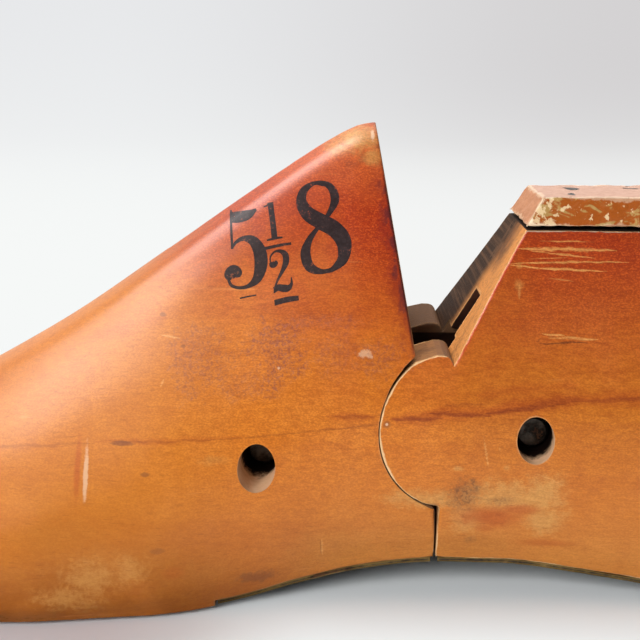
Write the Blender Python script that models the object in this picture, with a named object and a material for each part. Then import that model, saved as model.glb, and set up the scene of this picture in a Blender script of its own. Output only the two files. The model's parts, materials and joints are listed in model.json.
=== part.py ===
"""A hinged wooden shoe last, for a woman's right shoe of a small size.

The toe points along -X, the heel along +X, the inner side of the foot faces -Y and the last stands on z = 0.
The forepart stays still, the heel part turns on its round tongue, and a sprung link joins the cross pins.
"""

import math

import bmesh
import bpy
import numpy as np

# Overall sizes of the last, in metres
LAST_LENGTH = 0.222
BALL_HALF_WIDTH = 0.0375
PEAK_HEIGHT = 0.0876
TOP_BELOW_PEAK = 0.0188
ARCH_RISE = 0.0063
TOE_SPRING = 0.0100
HEEL_LIFT = 0.0025
BOTTOM_CROWN = 0.0009
BACK_LEAN = 0.0180

# Gaps and overruns
GAP = 0.0003
RUNNING_GAP = 0.0006
OVERRUN = 0.0050

# The round hinge between the two wooden parts
HINGE_FROM_HEEL = 0.0855
HINGE_HEIGHT = 0.0338
TONGUE_RADIUS = 0.0149
SOCKET_RELIEF = 0.0007
BUTT_SETBACK = 0.0044
NOTCH_SETBACK = 0.0015
NOTCH_ABOVE_HINGE = 0.0117
TONGUE_LIP_LENGTH = 0.0030
TONGUE_LIP_RISE = 0.0018
V_FACE_LEAN = math.radians(30.8)
BACK_FACE_LEAN = math.radians(10.1)
BACK_FACE_SETBACK = 0.0084
RELIEF_REACH_SHARE = 0.25
LIP_FRONT_SHARE = 0.6
LIP_FRONT_RISE_SHARE = 0.89

# The cross pins and the holes that they sit in
FRONT_PIN_REACH = 0.0361
FRONT_PIN_DROP = 0.0052
REAR_PIN_REACH = 0.0135
REAR_PIN_DROP = 0.0016
PIN_RADIUS = 0.0031
PIN_LENGTH = 0.0320

# The mortise that holds the link, and the saw slot above it
MORTISE_WIDTH = 0.0127
MORTISE_OFFSET = -0.0025
MORTISE_CLEARANCE = 0.0013
MORTISE_HEADROOM = 0.0095
MORTISE_BACK_DEPTH = 0.0123
MORTISE_BACK_RISE = 0.0098
SLOT_WIDTH = 0.0064
SLOT_OFFSET = -0.0038
SLOT_RADIUS = 0.0220
SLOT_FIRST_ANGLE = math.radians(99)
SLOT_LAST_ANGLE = math.radians(20)

# The sprung link
STRAP_THICKNESS = 0.0015
STRAP_HEIGHT = 0.0116
STRAP_CORNER = 0.0025
SLOT_TRAVEL = 0.0009
SADDLE_LENGTH = 0.0052
SADDLE_HEIGHT = 0.0090
SADDLE_WRAP = math.radians(50)
SPRING_LENGTH = 0.0100
SPRING_DIAMETER = 0.0076
SPRING_WIRE = 0.0011
SPRING_CURLS = 4.5
POINTS_PER_CURL = 10

# The tube for the jack's pin, and the leather cap on the heel's top
THIMBLE_FROM_HEEL = 0.0420
THIMBLE_RADIUS = 0.00635
THIMBLE_WALL = 0.0011
THIMBLE_DEPTH = 0.0445
CAP_THICKNESS = 0.0053
CAP_OVERHANG = 0.0005

# The two iron plates under the sole
PLATE_THICKNESS = 0.0010
PLATE_INSET = 0.0006
SHANK_PLATE_LENGTH = 0.0395
PLATE_JOINT_INSET = 0.0005

# Nails
PLATE_NAIL_LENGTH = 0.0100
CAP_NAIL_LENGTH = 0.0130
NAIL_SHANK_RADIUS = 0.0009
NAIL_HEAD_RADIUS = 0.0019
NAIL_HEAD_DEPTH = 0.0009
NAIL_SINK = 0.0001
NAIL_POINT_SHARE = 0.33

# How finely round and curved shapes are drawn
ROUND_SIDES = 24
NAIL_SIDES = 8
ARC_STEPS = 20
SIDE_STEPS = 15
BOTTOM_STEPS = 9
FOREPART_STATIONS = 32
HEEL_STATIONS = 26
PLATE_STATIONS = 16
STATION_CROWDING = 1.5
SHARP_ANGLE = math.radians(40)

# The lines of the last, each point at a share of its length from the toe.
# Heights of the sole's middle line, in shares of the arch rise, the toe spring and the heel lift
ARCH_SHARES = [(0, 0), (0.375, 0), (0.42, 0.09), (0.48, 0.47), (0.54, 0.83), (0.6, 1.0), (0.65, 0.97),
               (0.72, 0.71), (0.80, 0.35), (0.87, 0.08), (0.92, 0), (1, 0)]
TOE_SHARES = [(0, 1), (0.05, 0.56), (0.117, 0.22), (0.185, 0.05), (0.25, 0), (1, 0)]
HEEL_SHARES = [(0, 0), (0.95, 0), (1, 1)]

# Height of the ridge, in shares of the peak height
RIDGE_SHARES = [(0, 0.275), (0.05, 0.317), (0.095, 0.35), (0.14, 0.395), (0.185, 0.447), (0.23, 0.507),
                (0.288, 0.592), (0.36, 0.715), (0.432, 0.840), (0.5, 0.953), (0.518, 0.978), (0.533, 0.994),
                (0.555, 1), (1, 1)]

# Widest reach of each side from the middle line, the middle line's own place, and the ridge's place,
# in shares of half the ball's width
INNER_SHARES = [(0, 0.62), (0.08, 0.74), (0.18, 0.86), (0.28, 0.96), (0.36, 0.92), (0.44, 0.80),
                (0.52, 0.70), (0.58, 0.668), (0.66, 0.665), (0.75, 0.69), (0.85, 0.72), (1, 0.70)]
OUTER_SHARES = [(0, 0.54), (0.08, 0.68), (0.18, 0.84), (0.28, 0.97), (0.36, 1.0), (0.44, 0.96),
                (0.52, 0.86), (0.58, 0.79), (0.66, 0.74), (0.75, 0.72), (0.85, 0.72), (1, 0.70)]
MIDDLE_SHARES = [(0, -0.20), (0.1, -0.17), (0.2, -0.09), (0.33, 0), (1, 0)]
RIDGE_PLACE_SHARES = [(0, -0.20), (0.15, -0.19), (0.3, -0.13), (0.45, -0.05), (0.55, 0), (1, 0)]

# Width of a cross section at each share of its height, one column for each height, in shares of its reach
HEIGHT_SHARES = [0, 0.1, 0.22, 0.36, 0.5, 0.64, 0.78, 0.9, 0.97, 1]
INNER_SECTION_SHARES = [
    (0.00, [0.90, 0.985, 1, 0.97, 0.90, 0.79, 0.62, 0.41, 0.22, 0]),
    (0.30, [0.905, 0.985, 1, 0.95, 0.85, 0.70, 0.51, 0.31, 0.16, 0]),
    (0.53, [0.86, 0.955, 1, 0.965, 0.84, 0.62, 0.40, 0.25, 0.14, 0]),
    (0.64, [0.86, 0.950, 1, 0.955, 0.80, 0.56, 0.38, 0.27, 0.16, 0]),
    (0.85, [0.89, 0.960, 1, 0.970, 0.86, 0.67, 0.44, 0.28, 0.16, 0]),
    (1.00, [0.90, 0.970, 1, 0.970, 0.88, 0.74, 0.56, 0.36, 0.20, 0]),
]
OUTER_SECTION_SHARES = [
    (0.00, [0.90, 0.985, 1, 0.97, 0.90, 0.79, 0.62, 0.41, 0.22, 0]),
    (0.30, [0.905, 0.99, 1, 0.93, 0.80, 0.63, 0.44, 0.27, 0.14, 0]),
    (0.53, [0.90, 0.970, 1, 0.930, 0.75, 0.56, 0.36, 0.21, 0.11, 0]),
    (0.64, [0.90, 0.965, 1, 0.920, 0.73, 0.56, 0.40, 0.27, 0.16, 0]),
    (0.85, [0.89, 0.960, 1, 0.970, 0.86, 0.67, 0.46, 0.28, 0.16, 0]),
    (1.00, [0.90, 0.970, 1, 0.970, 0.88, 0.74, 0.56, 0.36, 0.20, 0]),
]

# Back curve of the heel: how far each share of the peak height stands in, in shares of the back's lean
BACK_CURVE_SHARES = [(0, 0.36), (0.06, 0.22), (0.14, 0.07), (0.25, 0), (0.36, 0.06), (0.48, 0.22),
                     (0.60, 0.44), (0.69, 0.60), (0.78, 0.72), (1, 1)]

# Where the ends of the last start to close, in shares of its length, and how round they are
TOE_CLOSING_SHARE = 0.16
TOE_TOP_CLOSING_SHARE = 0.065
TIP_HEIGHT_SHARE = 0.38
HEEL_CLOSING_SHARE = 0.22
BACK_CURVE_START_SHARE = 0.70
TOE_ROUNDNESS = 2.3
TOE_TOP_ROUNDNESS = 2.6
HEEL_ROUNDNESS = 2.3
FLAT_BOTTOM_SHARE = 0.12

# Places of the nails: along each plate from its front, or the cap before and behind the jack's tube,
# and across it from its middle line
SHANK_NAIL_SHARES = [(0.16, -0.62), (0.16, 0.62), (0.80, -0.62), (0.80, 0.62)]
HEEL_NAIL_SHARES = [(0.09, -0.60), (0.09, 0.60), (0.42, -0.68), (0.42, 0.68), (0.76, -0.66), (0.76, 0.66),
                    (0.90, 0)]
CAP_FRONT_NAIL_SHARES = [(0.317, -0.45), (0.317, 0.45), (0.90, -0.62), (0.90, 0.62)]
CAP_BACK_NAIL_SHARES = [(0.296, -0.55), (0.296, 0.55), (0.75, 0)]

# Key points worked out from the sizes above
TOP_HEIGHT = PEAK_HEIGHT - TOP_BELOW_PEAK
HINGE_X = LAST_LENGTH / 2 - HINGE_FROM_HEEL
FRONT_PIN = (HINGE_X - FRONT_PIN_REACH, HINGE_HEIGHT - FRONT_PIN_DROP)
REAR_PIN = (HINGE_X + REAR_PIN_REACH, HINGE_HEIGHT - REAR_PIN_DROP)
BUTT_X = HINGE_X - BUTT_SETBACK
NOTCH = (HINGE_X - NOTCH_SETBACK, HINGE_HEIGHT + NOTCH_ABOVE_HINGE)
LINK_REACH = math.dist(FRONT_PIN, REAR_PIN)
LINK_ANGLE = math.atan2(REAR_PIN[1] - FRONT_PIN[1], REAR_PIN[0] - FRONT_PIN[0])
SEAT_DEPTH = PLATE_THICKNESS + GAP
THIMBLE_X = LAST_LENGTH / 2 - THIMBLE_FROM_HEEL
CAP_BOTTOM = TOP_HEIGHT + GAP
CAP_TOP = CAP_BOTTOM + CAP_THICKNESS
CEILING = PEAK_HEIGHT + CAP_THICKNESS + OVERRUN


# Reading the lines of the last

def smooth(table, share):
    """A smooth curve through the table's points, a number or a row of them, that never swings past them."""
    places = [row[0] for row in table]
    values = np.array([row[1] for row in table], float)
    index = min(max(int(np.searchsorted(places, share)) - 1, 0), len(places) - 2)
    slopes = [(values[i + 1] - values[i]) / (places[i + 1] - places[i]) for i in range(len(places) - 1)]

    def tangent(i):
        if i == 0 or i == len(places) - 1:
            return slopes[min(i, len(slopes) - 1)]
        before, after = slopes[i - 1], slopes[i]
        total = np.where(np.abs(before + after) > 0, before + after, 1)
        return np.where(before * after > 0, 2 * before * after / total, 0)

    step = places[index + 1] - places[index]
    t = (share - places[index]) / step
    return (values[index] * (1 + 2 * t) * (1 - t) ** 2 + values[index + 1] * t * t * (3 - 2 * t)
            + step * t * (1 - t) * (tangent(index) * (1 - t) - tangent(index + 1) * t))


def closing(distance, roundness):
    """How far a round end has opened, from 0 at its tip to 1, at a share of the way in."""
    inside = min(max(distance, 0), 1)
    return (1 - (1 - inside) ** roundness) ** (1 / roundness)


def sole_height(share):
    """Height of the sole's middle line, where the plates' undersides and the ball's wood lie."""
    return (ARCH_RISE * smooth(ARCH_SHARES, share) + TOE_SPRING * smooth(TOE_SHARES, share)
            + HEEL_LIFT * smooth(HEEL_SHARES, share))


def side_reach(share, inner):
    """Widest reach of one side from the middle line, closed at the toe and the heel."""
    table = INNER_SHARES if inner else OUTER_SHARES
    toe = closing(share / TOE_CLOSING_SHARE, TOE_ROUNDNESS)
    heel = closing((1 - share) / HEEL_CLOSING_SHARE, HEEL_ROUNDNESS)
    return float(smooth(table, share)) * BALL_HALF_WIDTH * toe * heel


def crown(across, share):
    """Rise of the sole from its flat middle strip to its edge, across from -1 to 1."""
    strip = FLAT_BOTTOM_SHARE
    toe = closing(share / TOE_TOP_CLOSING_SHARE, TOE_TOP_ROUNDNESS)
    heel = closing((1 - share) / HEEL_CLOSING_SHARE, HEEL_ROUNDNESS)
    return BOTTOM_CROWN * toe * heel * max(across * across - strip * strip, 0) / (1 - strip * strip)


def back_x(height):
    """Where the heel's back curve stands at a height."""
    height_share = min(max(height / PEAK_HEIGHT, 0), 1)
    return LAST_LENGTH / 2 - BACK_LEAN * float(smooth(BACK_CURVE_SHARES, height_share))


def station_x(share, height):
    """Place along the last of a station at a height, bent to the heel's back curve near the end."""
    x = (share - 1 / 2) * LAST_LENGTH
    start = (BACK_CURVE_START_SHARE - 1 / 2) * LAST_LENGTH
    if x <= start:
        return x
    return start + (x - start) * (back_x(height) - start) / (LAST_LENGTH / 2 - start)


def share_at(x):
    """Share of the length at a place along the last."""
    return x / LAST_LENGTH + 1 / 2


def edge_share(share, inner):
    """Reach of the sole's edge as a share of the side's reach."""
    table = INNER_SECTION_SHARES if inner else OUTER_SECTION_SHARES
    return float(smooth(table, share)[0])


def sole_point(share, across, lift):
    """A point of the sole, across from -1 at its inner edge to 1 at its outer edge, raised by lift."""
    inner = across < 0
    middle = BALL_HALF_WIDTH * float(smooth(MIDDLE_SHARES, share))
    y = middle + across * side_reach(share, inner) * edge_share(share, inner)
    z = sole_height(share) + tip_rise(share) + crown(across, share) + lift
    return (station_x(share, z), y, z)


def section_height(share):
    """Height of the section before the toe closes it."""
    return PEAK_HEIGHT * float(smooth(RIDGE_SHARES, share)) - sole_height(share)


def tip_rise(share):
    """How much the closing toe lifts the sole's edge."""
    opened = closing(share / TOE_TOP_CLOSING_SHARE, TOE_TOP_ROUNDNESS)
    return TIP_HEIGHT_SHARE * section_height(share) * (1 - opened)


def side_point(share, height_share, inner):
    """A point of the side wall at a share of the section's height."""
    opened = closing(share / TOE_TOP_CLOSING_SHARE, TOE_TOP_ROUNDNESS)
    height = section_height(share)
    low = sole_height(share) + tip_rise(share) + crown(1, share)
    high = sole_height(share) + height * (TIP_HEIGHT_SHARE + (1 - TIP_HEIGHT_SHARE) * opened)
    z = low + (high - low) * height_share
    table = INNER_SECTION_SHARES if inner else OUTER_SECTION_SHARES
    widths = smooth(table, share)
    width = float(smooth(list(zip(HEIGHT_SHARES, widths)), height_share))
    middle = BALL_HALF_WIDTH * float(smooth(MIDDLE_SHARES, share))
    ridge = BALL_HALF_WIDTH * float(smooth(RIDGE_PLACE_SHARES, share))
    toward_ridge = height_share ** 2
    centre = middle + (ridge - middle) * toward_ridge
    reach = side_reach(share, inner) * width
    y = centre - reach if inner else centre + reach
    return (station_x(share, z), y, z)


def ring_points(share):
    """One cross section of the last, from the inner edge across the sole and round over the ridge."""
    points = [sole_point(share, 2 * i / BOTTOM_STEPS - 1, 0) for i in range(BOTTOM_STEPS + 1)]
    steps = [i / SIDE_STEPS for i in range(1, SIDE_STEPS + 1)]
    levels = [math.sin(math.pi / 2 * step) * (1 + step) / 2 for step in steps]
    points += [side_point(share, level, False) for level in levels]
    points += [side_point(share, level, True) for level in reversed(levels[:-1])]
    return points


# Making objects

def material(name, colour, roughness, metallic):
    """A plain finish."""
    made = bpy.data.materials.get(name) or bpy.data.materials.new(name)
    made.use_nodes = True
    shader = made.node_tree.nodes["Principled BSDF"]
    shader.inputs["Base Color"].default_value = (*colour, 1)
    shader.inputs["Roughness"].default_value = roughness
    shader.inputs["Metallic"].default_value = metallic
    return made


def mesh_object(name, bm):
    """Turns the built faces into an object with its faces pointing out."""
    bmesh.ops.recalc_face_normals(bm, faces=bm.faces)
    mesh = bpy.data.meshes.new(name)
    bm.to_mesh(mesh)
    bm.free()
    made = bpy.data.objects.new(name, mesh)
    bpy.context.collection.objects.link(made)
    return made


def finish(made, finish_material, parent=None, round_piece=False):
    """Gives an object its material, its shading and its carrier."""
    made.data.materials.append(finish_material)
    if round_piece:
        made.data.shade_smooth()
        made.data.set_sharp_from_angle(angle=SHARP_ANGLE)
    if parent:
        made.parent = parent
        made.matrix_parent_inverse = parent.matrix_world.inverted()
    return made


def loft(name, rings):
    """Joins the rings of points into one closed skin; repeated points at a closed end become one."""
    bm = bmesh.new()
    known = {}

    def vertex(point):
        key = tuple(round(value / (GAP / 1000)) for value in point)
        if key not in known:
            known[key] = bm.verts.new(point)
        return known[key]

    rows = [[vertex(point) for point in ring] for ring in rings]

    def face(corners):
        unique = list(dict.fromkeys(corners))
        if len(unique) > 2:
            bm.faces.new(unique)

    count = len(rows[0])
    for front, back in zip(rows, rows[1:]):
        for i in range(count):
            j = (i + 1) % count
            face([front[i], front[j], back[j], back[i]])
    if len(set(rows[0])) == count:
        face(rows[0])
    if len(set(rows[-1])) == count:
        face(rows[-1])
    return mesh_object(name, bm)


def prism(name, outline, low_y, high_y):
    """Extrudes an outline of x and z points across the last."""
    bm = bmesh.new()
    corners = [bm.verts.new((x, low_y, z)) for x, z in outline]
    made = bm.faces.new(corners)
    moved = bmesh.ops.extrude_face_region(bm, geom=[made])
    new_corners = [item for item in moved["geom"] if isinstance(item, bmesh.types.BMVert)]
    bmesh.ops.translate(bm, verts=new_corners, vec=(0, high_y - low_y, 0))
    return mesh_object(name, bm)


def turned(name, profile, sides):
    """Spins a profile of radius and height points about the Z axis, closed at both ends."""
    bm = bmesh.new()
    rows = []
    for radius, height in profile:
        angles = [2 * math.pi * i / sides for i in range(sides)]
        rows.append([bm.verts.new((radius * math.cos(a), radius * math.sin(a), height)) for a in angles])
    for low, high in zip(rows, rows[1:]):
        for i in range(sides):
            j = (i + 1) % sides
            bm.faces.new([low[i], low[j], high[j], high[i]])
    bm.faces.new(rows[0])
    bm.faces.new(rows[-1])
    return mesh_object(name, bm)


def cross_rod(name, centre, radius, low_y, high_y, sides=ROUND_SIDES):
    """A rod across the last, centred on an x and z point, with a flat at its top and bottom."""
    angles = [2 * math.pi * (i + 1 / 2) / sides for i in range(sides)]
    outline = [(centre[0] + radius * math.cos(a), centre[1] + radius * math.sin(a)) for a in angles]
    return prism(name, outline, low_y, high_y)


def boolean(made, tool, operation="DIFFERENCE"):
    """Leaves a live Boolean on the object and hides its tool."""
    modifier = made.modifiers.new(tool.name, "BOOLEAN")
    modifier.operation = operation
    modifier.solver = "EXACT"
    modifier.object = tool
    tool.hide_render = True
    tool.display_type = "WIRE"


def joined(name, pieces):
    """Puts separate solids of one kind into one object."""
    bm = bmesh.new()
    for piece in pieces:
        bm.from_mesh(piece.data)
        bpy.data.objects.remove(piece, do_unlink=True)
    return mesh_object(name, bm)


def moved_by(made, offset):
    """Moves an object's mesh and leaves its origin alone."""
    for vertex in made.data.vertices:
        vertex.co.x += offset[0]
        vertex.co.y += offset[1]
        vertex.co.z += offset[2]
    return made


def axis_empty(name, location, turn=0):
    """An empty on a joint's axis, which carries the pieces of a moving body."""
    made = bpy.data.objects.new(name, None)
    bpy.context.collection.objects.link(made)
    made.location = location
    made.rotation_euler = (0, turn, 0)
    bpy.context.view_layer.update()
    return made


# The joint between the two wooden parts, drawn on the last's side

def on_circle(radius, angle):
    """A point round the hinge's centre; angles run from the heel's direction up and over to the toe's."""
    return (HINGE_X + radius * math.cos(angle), HINGE_HEIGHT + radius * math.sin(angle))


def arc_to_butt(radius, start_angle, butt_x, relief=0):
    """The tongue's round line from its upper end down to the straight butt joint."""
    end_angle = 2 * math.pi - math.acos((butt_x - HINGE_X) / radius)
    points = []
    for i in range(ARC_STEPS + 1):
        share = i / ARC_STEPS
        extra = relief * max(1 - share / RELIEF_REACH_SHARE, 0)
        points.append(on_circle(radius + extra, start_angle + (end_angle - start_angle) * share))
    return points


def back_face_x(height):
    """Where the forepart's sawn back face stands at a height."""
    foot = NOTCH[1] + TONGUE_LIP_RISE
    return HINGE_X - BACK_FACE_SETBACK - (height - foot) * math.tan(BACK_FACE_LEAN)


def v_face_x(height):
    """Where the heel part's sawn V face stands at a height."""
    return NOTCH[0] + (height - NOTCH[1]) * math.tan(V_FACE_LEAN)


def forepart_cutter():
    """Everything behind the forepart: its back face, the hollow socket and its half of the butt joint."""
    foot = (back_face_x(NOTCH[1] + TONGUE_LIP_RISE), NOTCH[1] + TONGUE_LIP_RISE)
    start = math.atan2(foot[1] - HINGE_HEIGHT, foot[0] - HINGE_X)
    socket = arc_to_butt(TONGUE_RADIUS + GAP, start, BUTT_X, SOCKET_RELIEF)
    outline = [(back_face_x(CEILING), CEILING), foot] + socket[1:]
    outline += [(BUTT_X, -OVERRUN), (LAST_LENGTH / 2, -OVERRUN), (LAST_LENGTH / 2, CEILING)]
    reach = BALL_HALF_WIDTH + OVERRUN
    return prism("forepart_cutter", outline, -reach, reach)


def heel_cutter():
    """Everything before the heel part: its V face, the notch, the tongue and its half of the butt joint."""
    lip = (NOTCH[0] - TONGUE_LIP_LENGTH, NOTCH[1] + TONGUE_LIP_RISE)
    lip_front = (NOTCH[0] - TONGUE_LIP_LENGTH * LIP_FRONT_SHARE,
                 NOTCH[1] + TONGUE_LIP_RISE * LIP_FRONT_RISE_SHARE)
    start = math.acos(-BACK_FACE_SETBACK / TONGUE_RADIUS)
    tongue = arc_to_butt(TONGUE_RADIUS, start, BUTT_X + GAP)
    outline = [(v_face_x(CEILING), CEILING), NOTCH, lip_front, lip] + tongue
    outline += [(BUTT_X + GAP, -OVERRUN), (-LAST_LENGTH / 2, -OVERRUN), (-LAST_LENGTH / 2, CEILING)]
    reach = BALL_HALF_WIDTH + OVERRUN
    return prism("heel_cutter", outline, -reach, reach)


# The mortises

def mortise_sides():
    """The two walls of the mortise."""
    return MORTISE_OFFSET - MORTISE_WIDTH / 2, MORTISE_OFFSET + MORTISE_WIDTH / 2


def forepart_mortise():
    """A slot from the socket forward past the front pin."""
    room = STRAP_HEIGHT / 2 + MORTISE_CLEARANCE
    front = FRONT_PIN[0] - room
    back = HINGE_X
    low = FRONT_PIN[1] - room
    high = HINGE_HEIGHT + MORTISE_HEADROOM
    outline = [(front, low), (back, low), (back, high), (front, FRONT_PIN[1] + room)]
    return prism("forepart_mortise", outline, *mortise_sides())


def heel_mortise():
    """A slot open over the tongue, which runs back past the spring's end."""
    room = STRAP_HEIGHT / 2 + MORTISE_CLEARANCE
    front = HINGE_X - TONGUE_RADIUS - OVERRUN
    back = REAR_PIN[0] + link_back_reach() + MORTISE_CLEARANCE + GAP
    front_floor = FRONT_PIN[1] + (front - FRONT_PIN[0]) * math.tan(LINK_ANGLE) - room
    back_floor = REAR_PIN[1] - MORTISE_BACK_DEPTH
    back_ceiling = REAR_PIN[1] + MORTISE_BACK_RISE
    mouth = NOTCH[1] + TONGUE_LIP_RISE
    outline = [(front, front_floor), (REAR_PIN[0] - room, front_floor), (REAR_PIN[0], back_floor),
               (back, back_floor), (back, back_ceiling), (v_face_x(mouth) + GAP, mouth), (front, CEILING)]
    return prism("heel_mortise", outline, *mortise_sides())


def saw_slot():
    """A narrower slot above the mortise, round like the saw that cut it."""
    steps = ARC_STEPS // 2
    sweep = SLOT_LAST_ANGLE - SLOT_FIRST_ANGLE
    arc = [on_circle(SLOT_RADIUS, SLOT_FIRST_ANGLE + sweep * i / steps) for i in range(steps + 1)]
    outline = [(HINGE_X, HINGE_HEIGHT + PIN_RADIUS), (HINGE_X, NOTCH[1])] + arc
    return prism("saw_slot", outline, SLOT_OFFSET - SLOT_WIDTH / 2, SLOT_OFFSET + SLOT_WIDTH / 2)


# The wooden parts

def station_shares(first, last, count, crowd_at_first):
    """Stations that lie closer together towards a closed end."""
    steps = [(i / count) ** STATION_CROWDING for i in range(count + 1)]
    if crowd_at_first:
        return [first + (last - first) * step for step in steps]
    return [last - (last - first) * step for step in reversed(steps)]


def sole_ring(share, low_lift, high_lift, skirt):
    """A slab's cross section over the sole, with a skirt past both edges where it is a cutting tool."""
    ring = []
    for lift, order in ((low_lift, 1), (high_lift, -1)):
        row = []
        for k in range(BOTTOM_STEPS + 1):
            across = 2 * k / BOTTOM_STEPS - 1
            x, y, z = sole_point(share, across, lift)
            row.append((x, y - PLATE_INSET * across, z))
        if skirt:
            (x0, y0, z0), (x1, y1, z1) = row[0], row[-1]
            row = [(x0, y0 - skirt, z0)] + row + [(x1, y1 + skirt, z1)]
        ring += row[::order]
    return ring


def plate_shares(span, closed_end):
    """Stations of a plate, crowded towards the heel's closed end."""
    if closed_end:
        return station_shares(*span, PLATE_STATIONS, False)
    return [span[0] + (span[1] - span[0]) * i / PLATE_STATIONS for i in range(PLATE_STATIONS + 1)]


def shifted(ring, offset):
    """The same cross section moved along the last."""
    return [(x + offset, y, z) for x, y, z in ring]


def plate_seat(name, shares, before, after):
    """The tool that lets a plate into the sole, carried on past the plate's ends."""
    rings = [sole_ring(share, -OVERRUN, SEAT_DEPTH, OVERRUN) for share in shares]
    return loft(name, [shifted(rings[0], -before)] + rings + [shifted(rings[-1], after)])


def shank_plate_span():
    """First and last share of the forepart's plate."""
    last = BUTT_X - PLATE_JOINT_INSET
    return share_at(last - SHANK_PLATE_LENGTH), share_at(last)


def heel_plate_span():
    """First and last share of the heel's plate; it stops just short of the closed end."""
    return share_at(BUTT_X + GAP + PLATE_JOINT_INSET), 1 - PLATE_INSET / LAST_LENGTH


def forepart_block(wood):
    """The front of the last, from the toe to the hollow socket."""
    last = share_at(BUTT_X + OVERRUN)
    shares = station_shares(0, last, FOREPART_STATIONS, True)
    made = loft("forepart_block", [ring_points(share) for share in shares])
    boolean(made, forepart_cutter())
    boolean(made, forepart_mortise())
    reach = BALL_HALF_WIDTH + OVERRUN
    boolean(made, cross_rod("front_pin_hole", FRONT_PIN, PIN_RADIUS + GAP, -reach, reach))
    boolean(made, plate_seat("shank_plate_seat", plate_shares(shank_plate_span(), False), GAP, OVERRUN))
    return finish(made, wood)


def heel_plane_cutter():
    """Everything above the heel part's flat top."""
    outline = [(0, TOP_HEIGHT), (LAST_LENGTH, TOP_HEIGHT), (LAST_LENGTH, CEILING), (0, CEILING)]
    reach = BALL_HALF_WIDTH + OVERRUN
    return prism("heel_plane_cutter", outline, -reach, reach)


def heel_shell(name):
    """The back of the last before it is cut, from ahead of the tongue to the heel's back curve."""
    first = share_at(HINGE_X - TONGUE_RADIUS - OVERRUN)
    shares = station_shares(first, 1, HEEL_STATIONS, False)
    return loft(name, [ring_points(share) for share in shares])


def heel_block(wood, carrier):
    """The back of the last, with the round tongue and the flat top."""
    made = heel_shell("heel_block")
    boolean(made, heel_plane_cutter())
    boolean(made, heel_cutter())
    boolean(made, heel_mortise())
    boolean(made, saw_slot())
    reach = BALL_HALF_WIDTH + OVERRUN
    boolean(made, cross_rod("rear_pin_hole", REAR_PIN, PIN_RADIUS + GAP, -reach, reach))
    floor = TOP_HEIGHT - THIMBLE_DEPTH - GAP
    profile = [(THIMBLE_RADIUS + GAP, floor), (THIMBLE_RADIUS + GAP, CEILING)]
    boolean(made, moved_by(turned("thimble_hole", profile, ROUND_SIDES), (THIMBLE_X, 0, 0)))
    boolean(made, plate_seat("heel_plate_seat", plate_shares(heel_plate_span(), True), OVERRUN, OVERRUN))
    return finish(made, wood, carrier)


# The plates, the cap and their nails

def sole_plate(name, shares, iron, carrier=None):
    """A thin iron plate that follows the sole and is let into the wood."""
    made = loft(name, [sole_ring(share, 0, PLATE_THICKNESS, 0) for share in shares])
    return finish(made, iron, carrier)


def nail_profile(length, extra):
    """A sunk nail's radii and heights from its head down, with a clearance all round for its hole."""
    head = NAIL_HEAD_RADIUS + extra
    shank = NAIL_SHANK_RADIUS + extra
    point = NAIL_SHANK_RADIUS * NAIL_POINT_SHARE + extra
    return [(head, 0), (shank, NAIL_HEAD_DEPTH), (shank, length - NAIL_SHANK_RADIUS), (point, length + extra)]


def nail(name, place, length, upwards, extra=0):
    """A nail driven up into the sole or down into the heel's top; with a clearance it cuts its own hole."""
    profile = nail_profile(length, extra)
    if extra:
        profile = [(NAIL_HEAD_RADIUS + extra, -OVERRUN)] + profile
    way = 1 if upwards else -1
    return moved_by(turned(name, [(radius, way * height) for radius, height in profile], NAIL_SIDES), place)


def drive_nails(name, places, length, upwards, held, iron, carrier=None):
    """Nails in a row of places, each a piece of its own, with holes cut in the two pieces they hold."""
    holes = []
    for number, place in enumerate(places, 1):
        finish(nail(f"{name}_{number}", place, length, upwards), iron, carrier)
        holes.append(nail("hole", place, length, upwards, GAP))
    tool = joined(f"{name}_holes", holes)
    for piece in held:
        boolean(piece, tool)


def plate_nail_places(span, shares):
    """Where the nails' heads lie in a plate's underside."""
    places = []
    for along, across in shares:
        share = span[0] + (span[1] - span[0]) * along
        x, y, z = sole_point(share, across, NAIL_SINK)
        places.append((x, y, z))
    return places


def cap_nail_places():
    """Where the nails' heads lie in the cap's top."""
    before = (v_face_x(CAP_TOP), THIMBLE_X - THIMBLE_RADIUS, CAP_FRONT_NAIL_SHARES)
    behind = (THIMBLE_X + THIMBLE_RADIUS, back_x(CAP_TOP), CAP_BACK_NAIL_SHARES)
    places = []
    for front, back, shares in (before, behind):
        for along, across in shares:
            x = front + (back - front) * along
            _, y, _ = side_point(share_at(x), CAP_TOP / PEAK_HEIGHT, across < 0)
            places.append((x, abs(across) * y, CAP_TOP - NAIL_SINK))
    return places


def top_cap(leather, carrier):
    """The leather cap, cut to the heel's own outline, with its front end in line with the V face."""
    made = heel_shell("top_cap")
    back = LAST_LENGTH / 2
    outline = [(v_face_x(CAP_BOTTOM) - CAP_OVERHANG, CAP_BOTTOM), (back, CAP_BOTTOM), (back, CAP_TOP),
               (v_face_x(CAP_TOP) - CAP_OVERHANG, CAP_TOP)]
    reach = BALL_HALF_WIDTH + OVERRUN
    boolean(made, prism("cap_slice", outline, -reach, reach), "INTERSECT")
    profile = [(THIMBLE_RADIUS + GAP, TOP_HEIGHT - GAP), (THIMBLE_RADIUS + GAP, CEILING)]
    boolean(made, moved_by(turned("cap_hole", profile, ROUND_SIDES), (THIMBLE_X, 0, 0)))
    return finish(made, leather, carrier)


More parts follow.
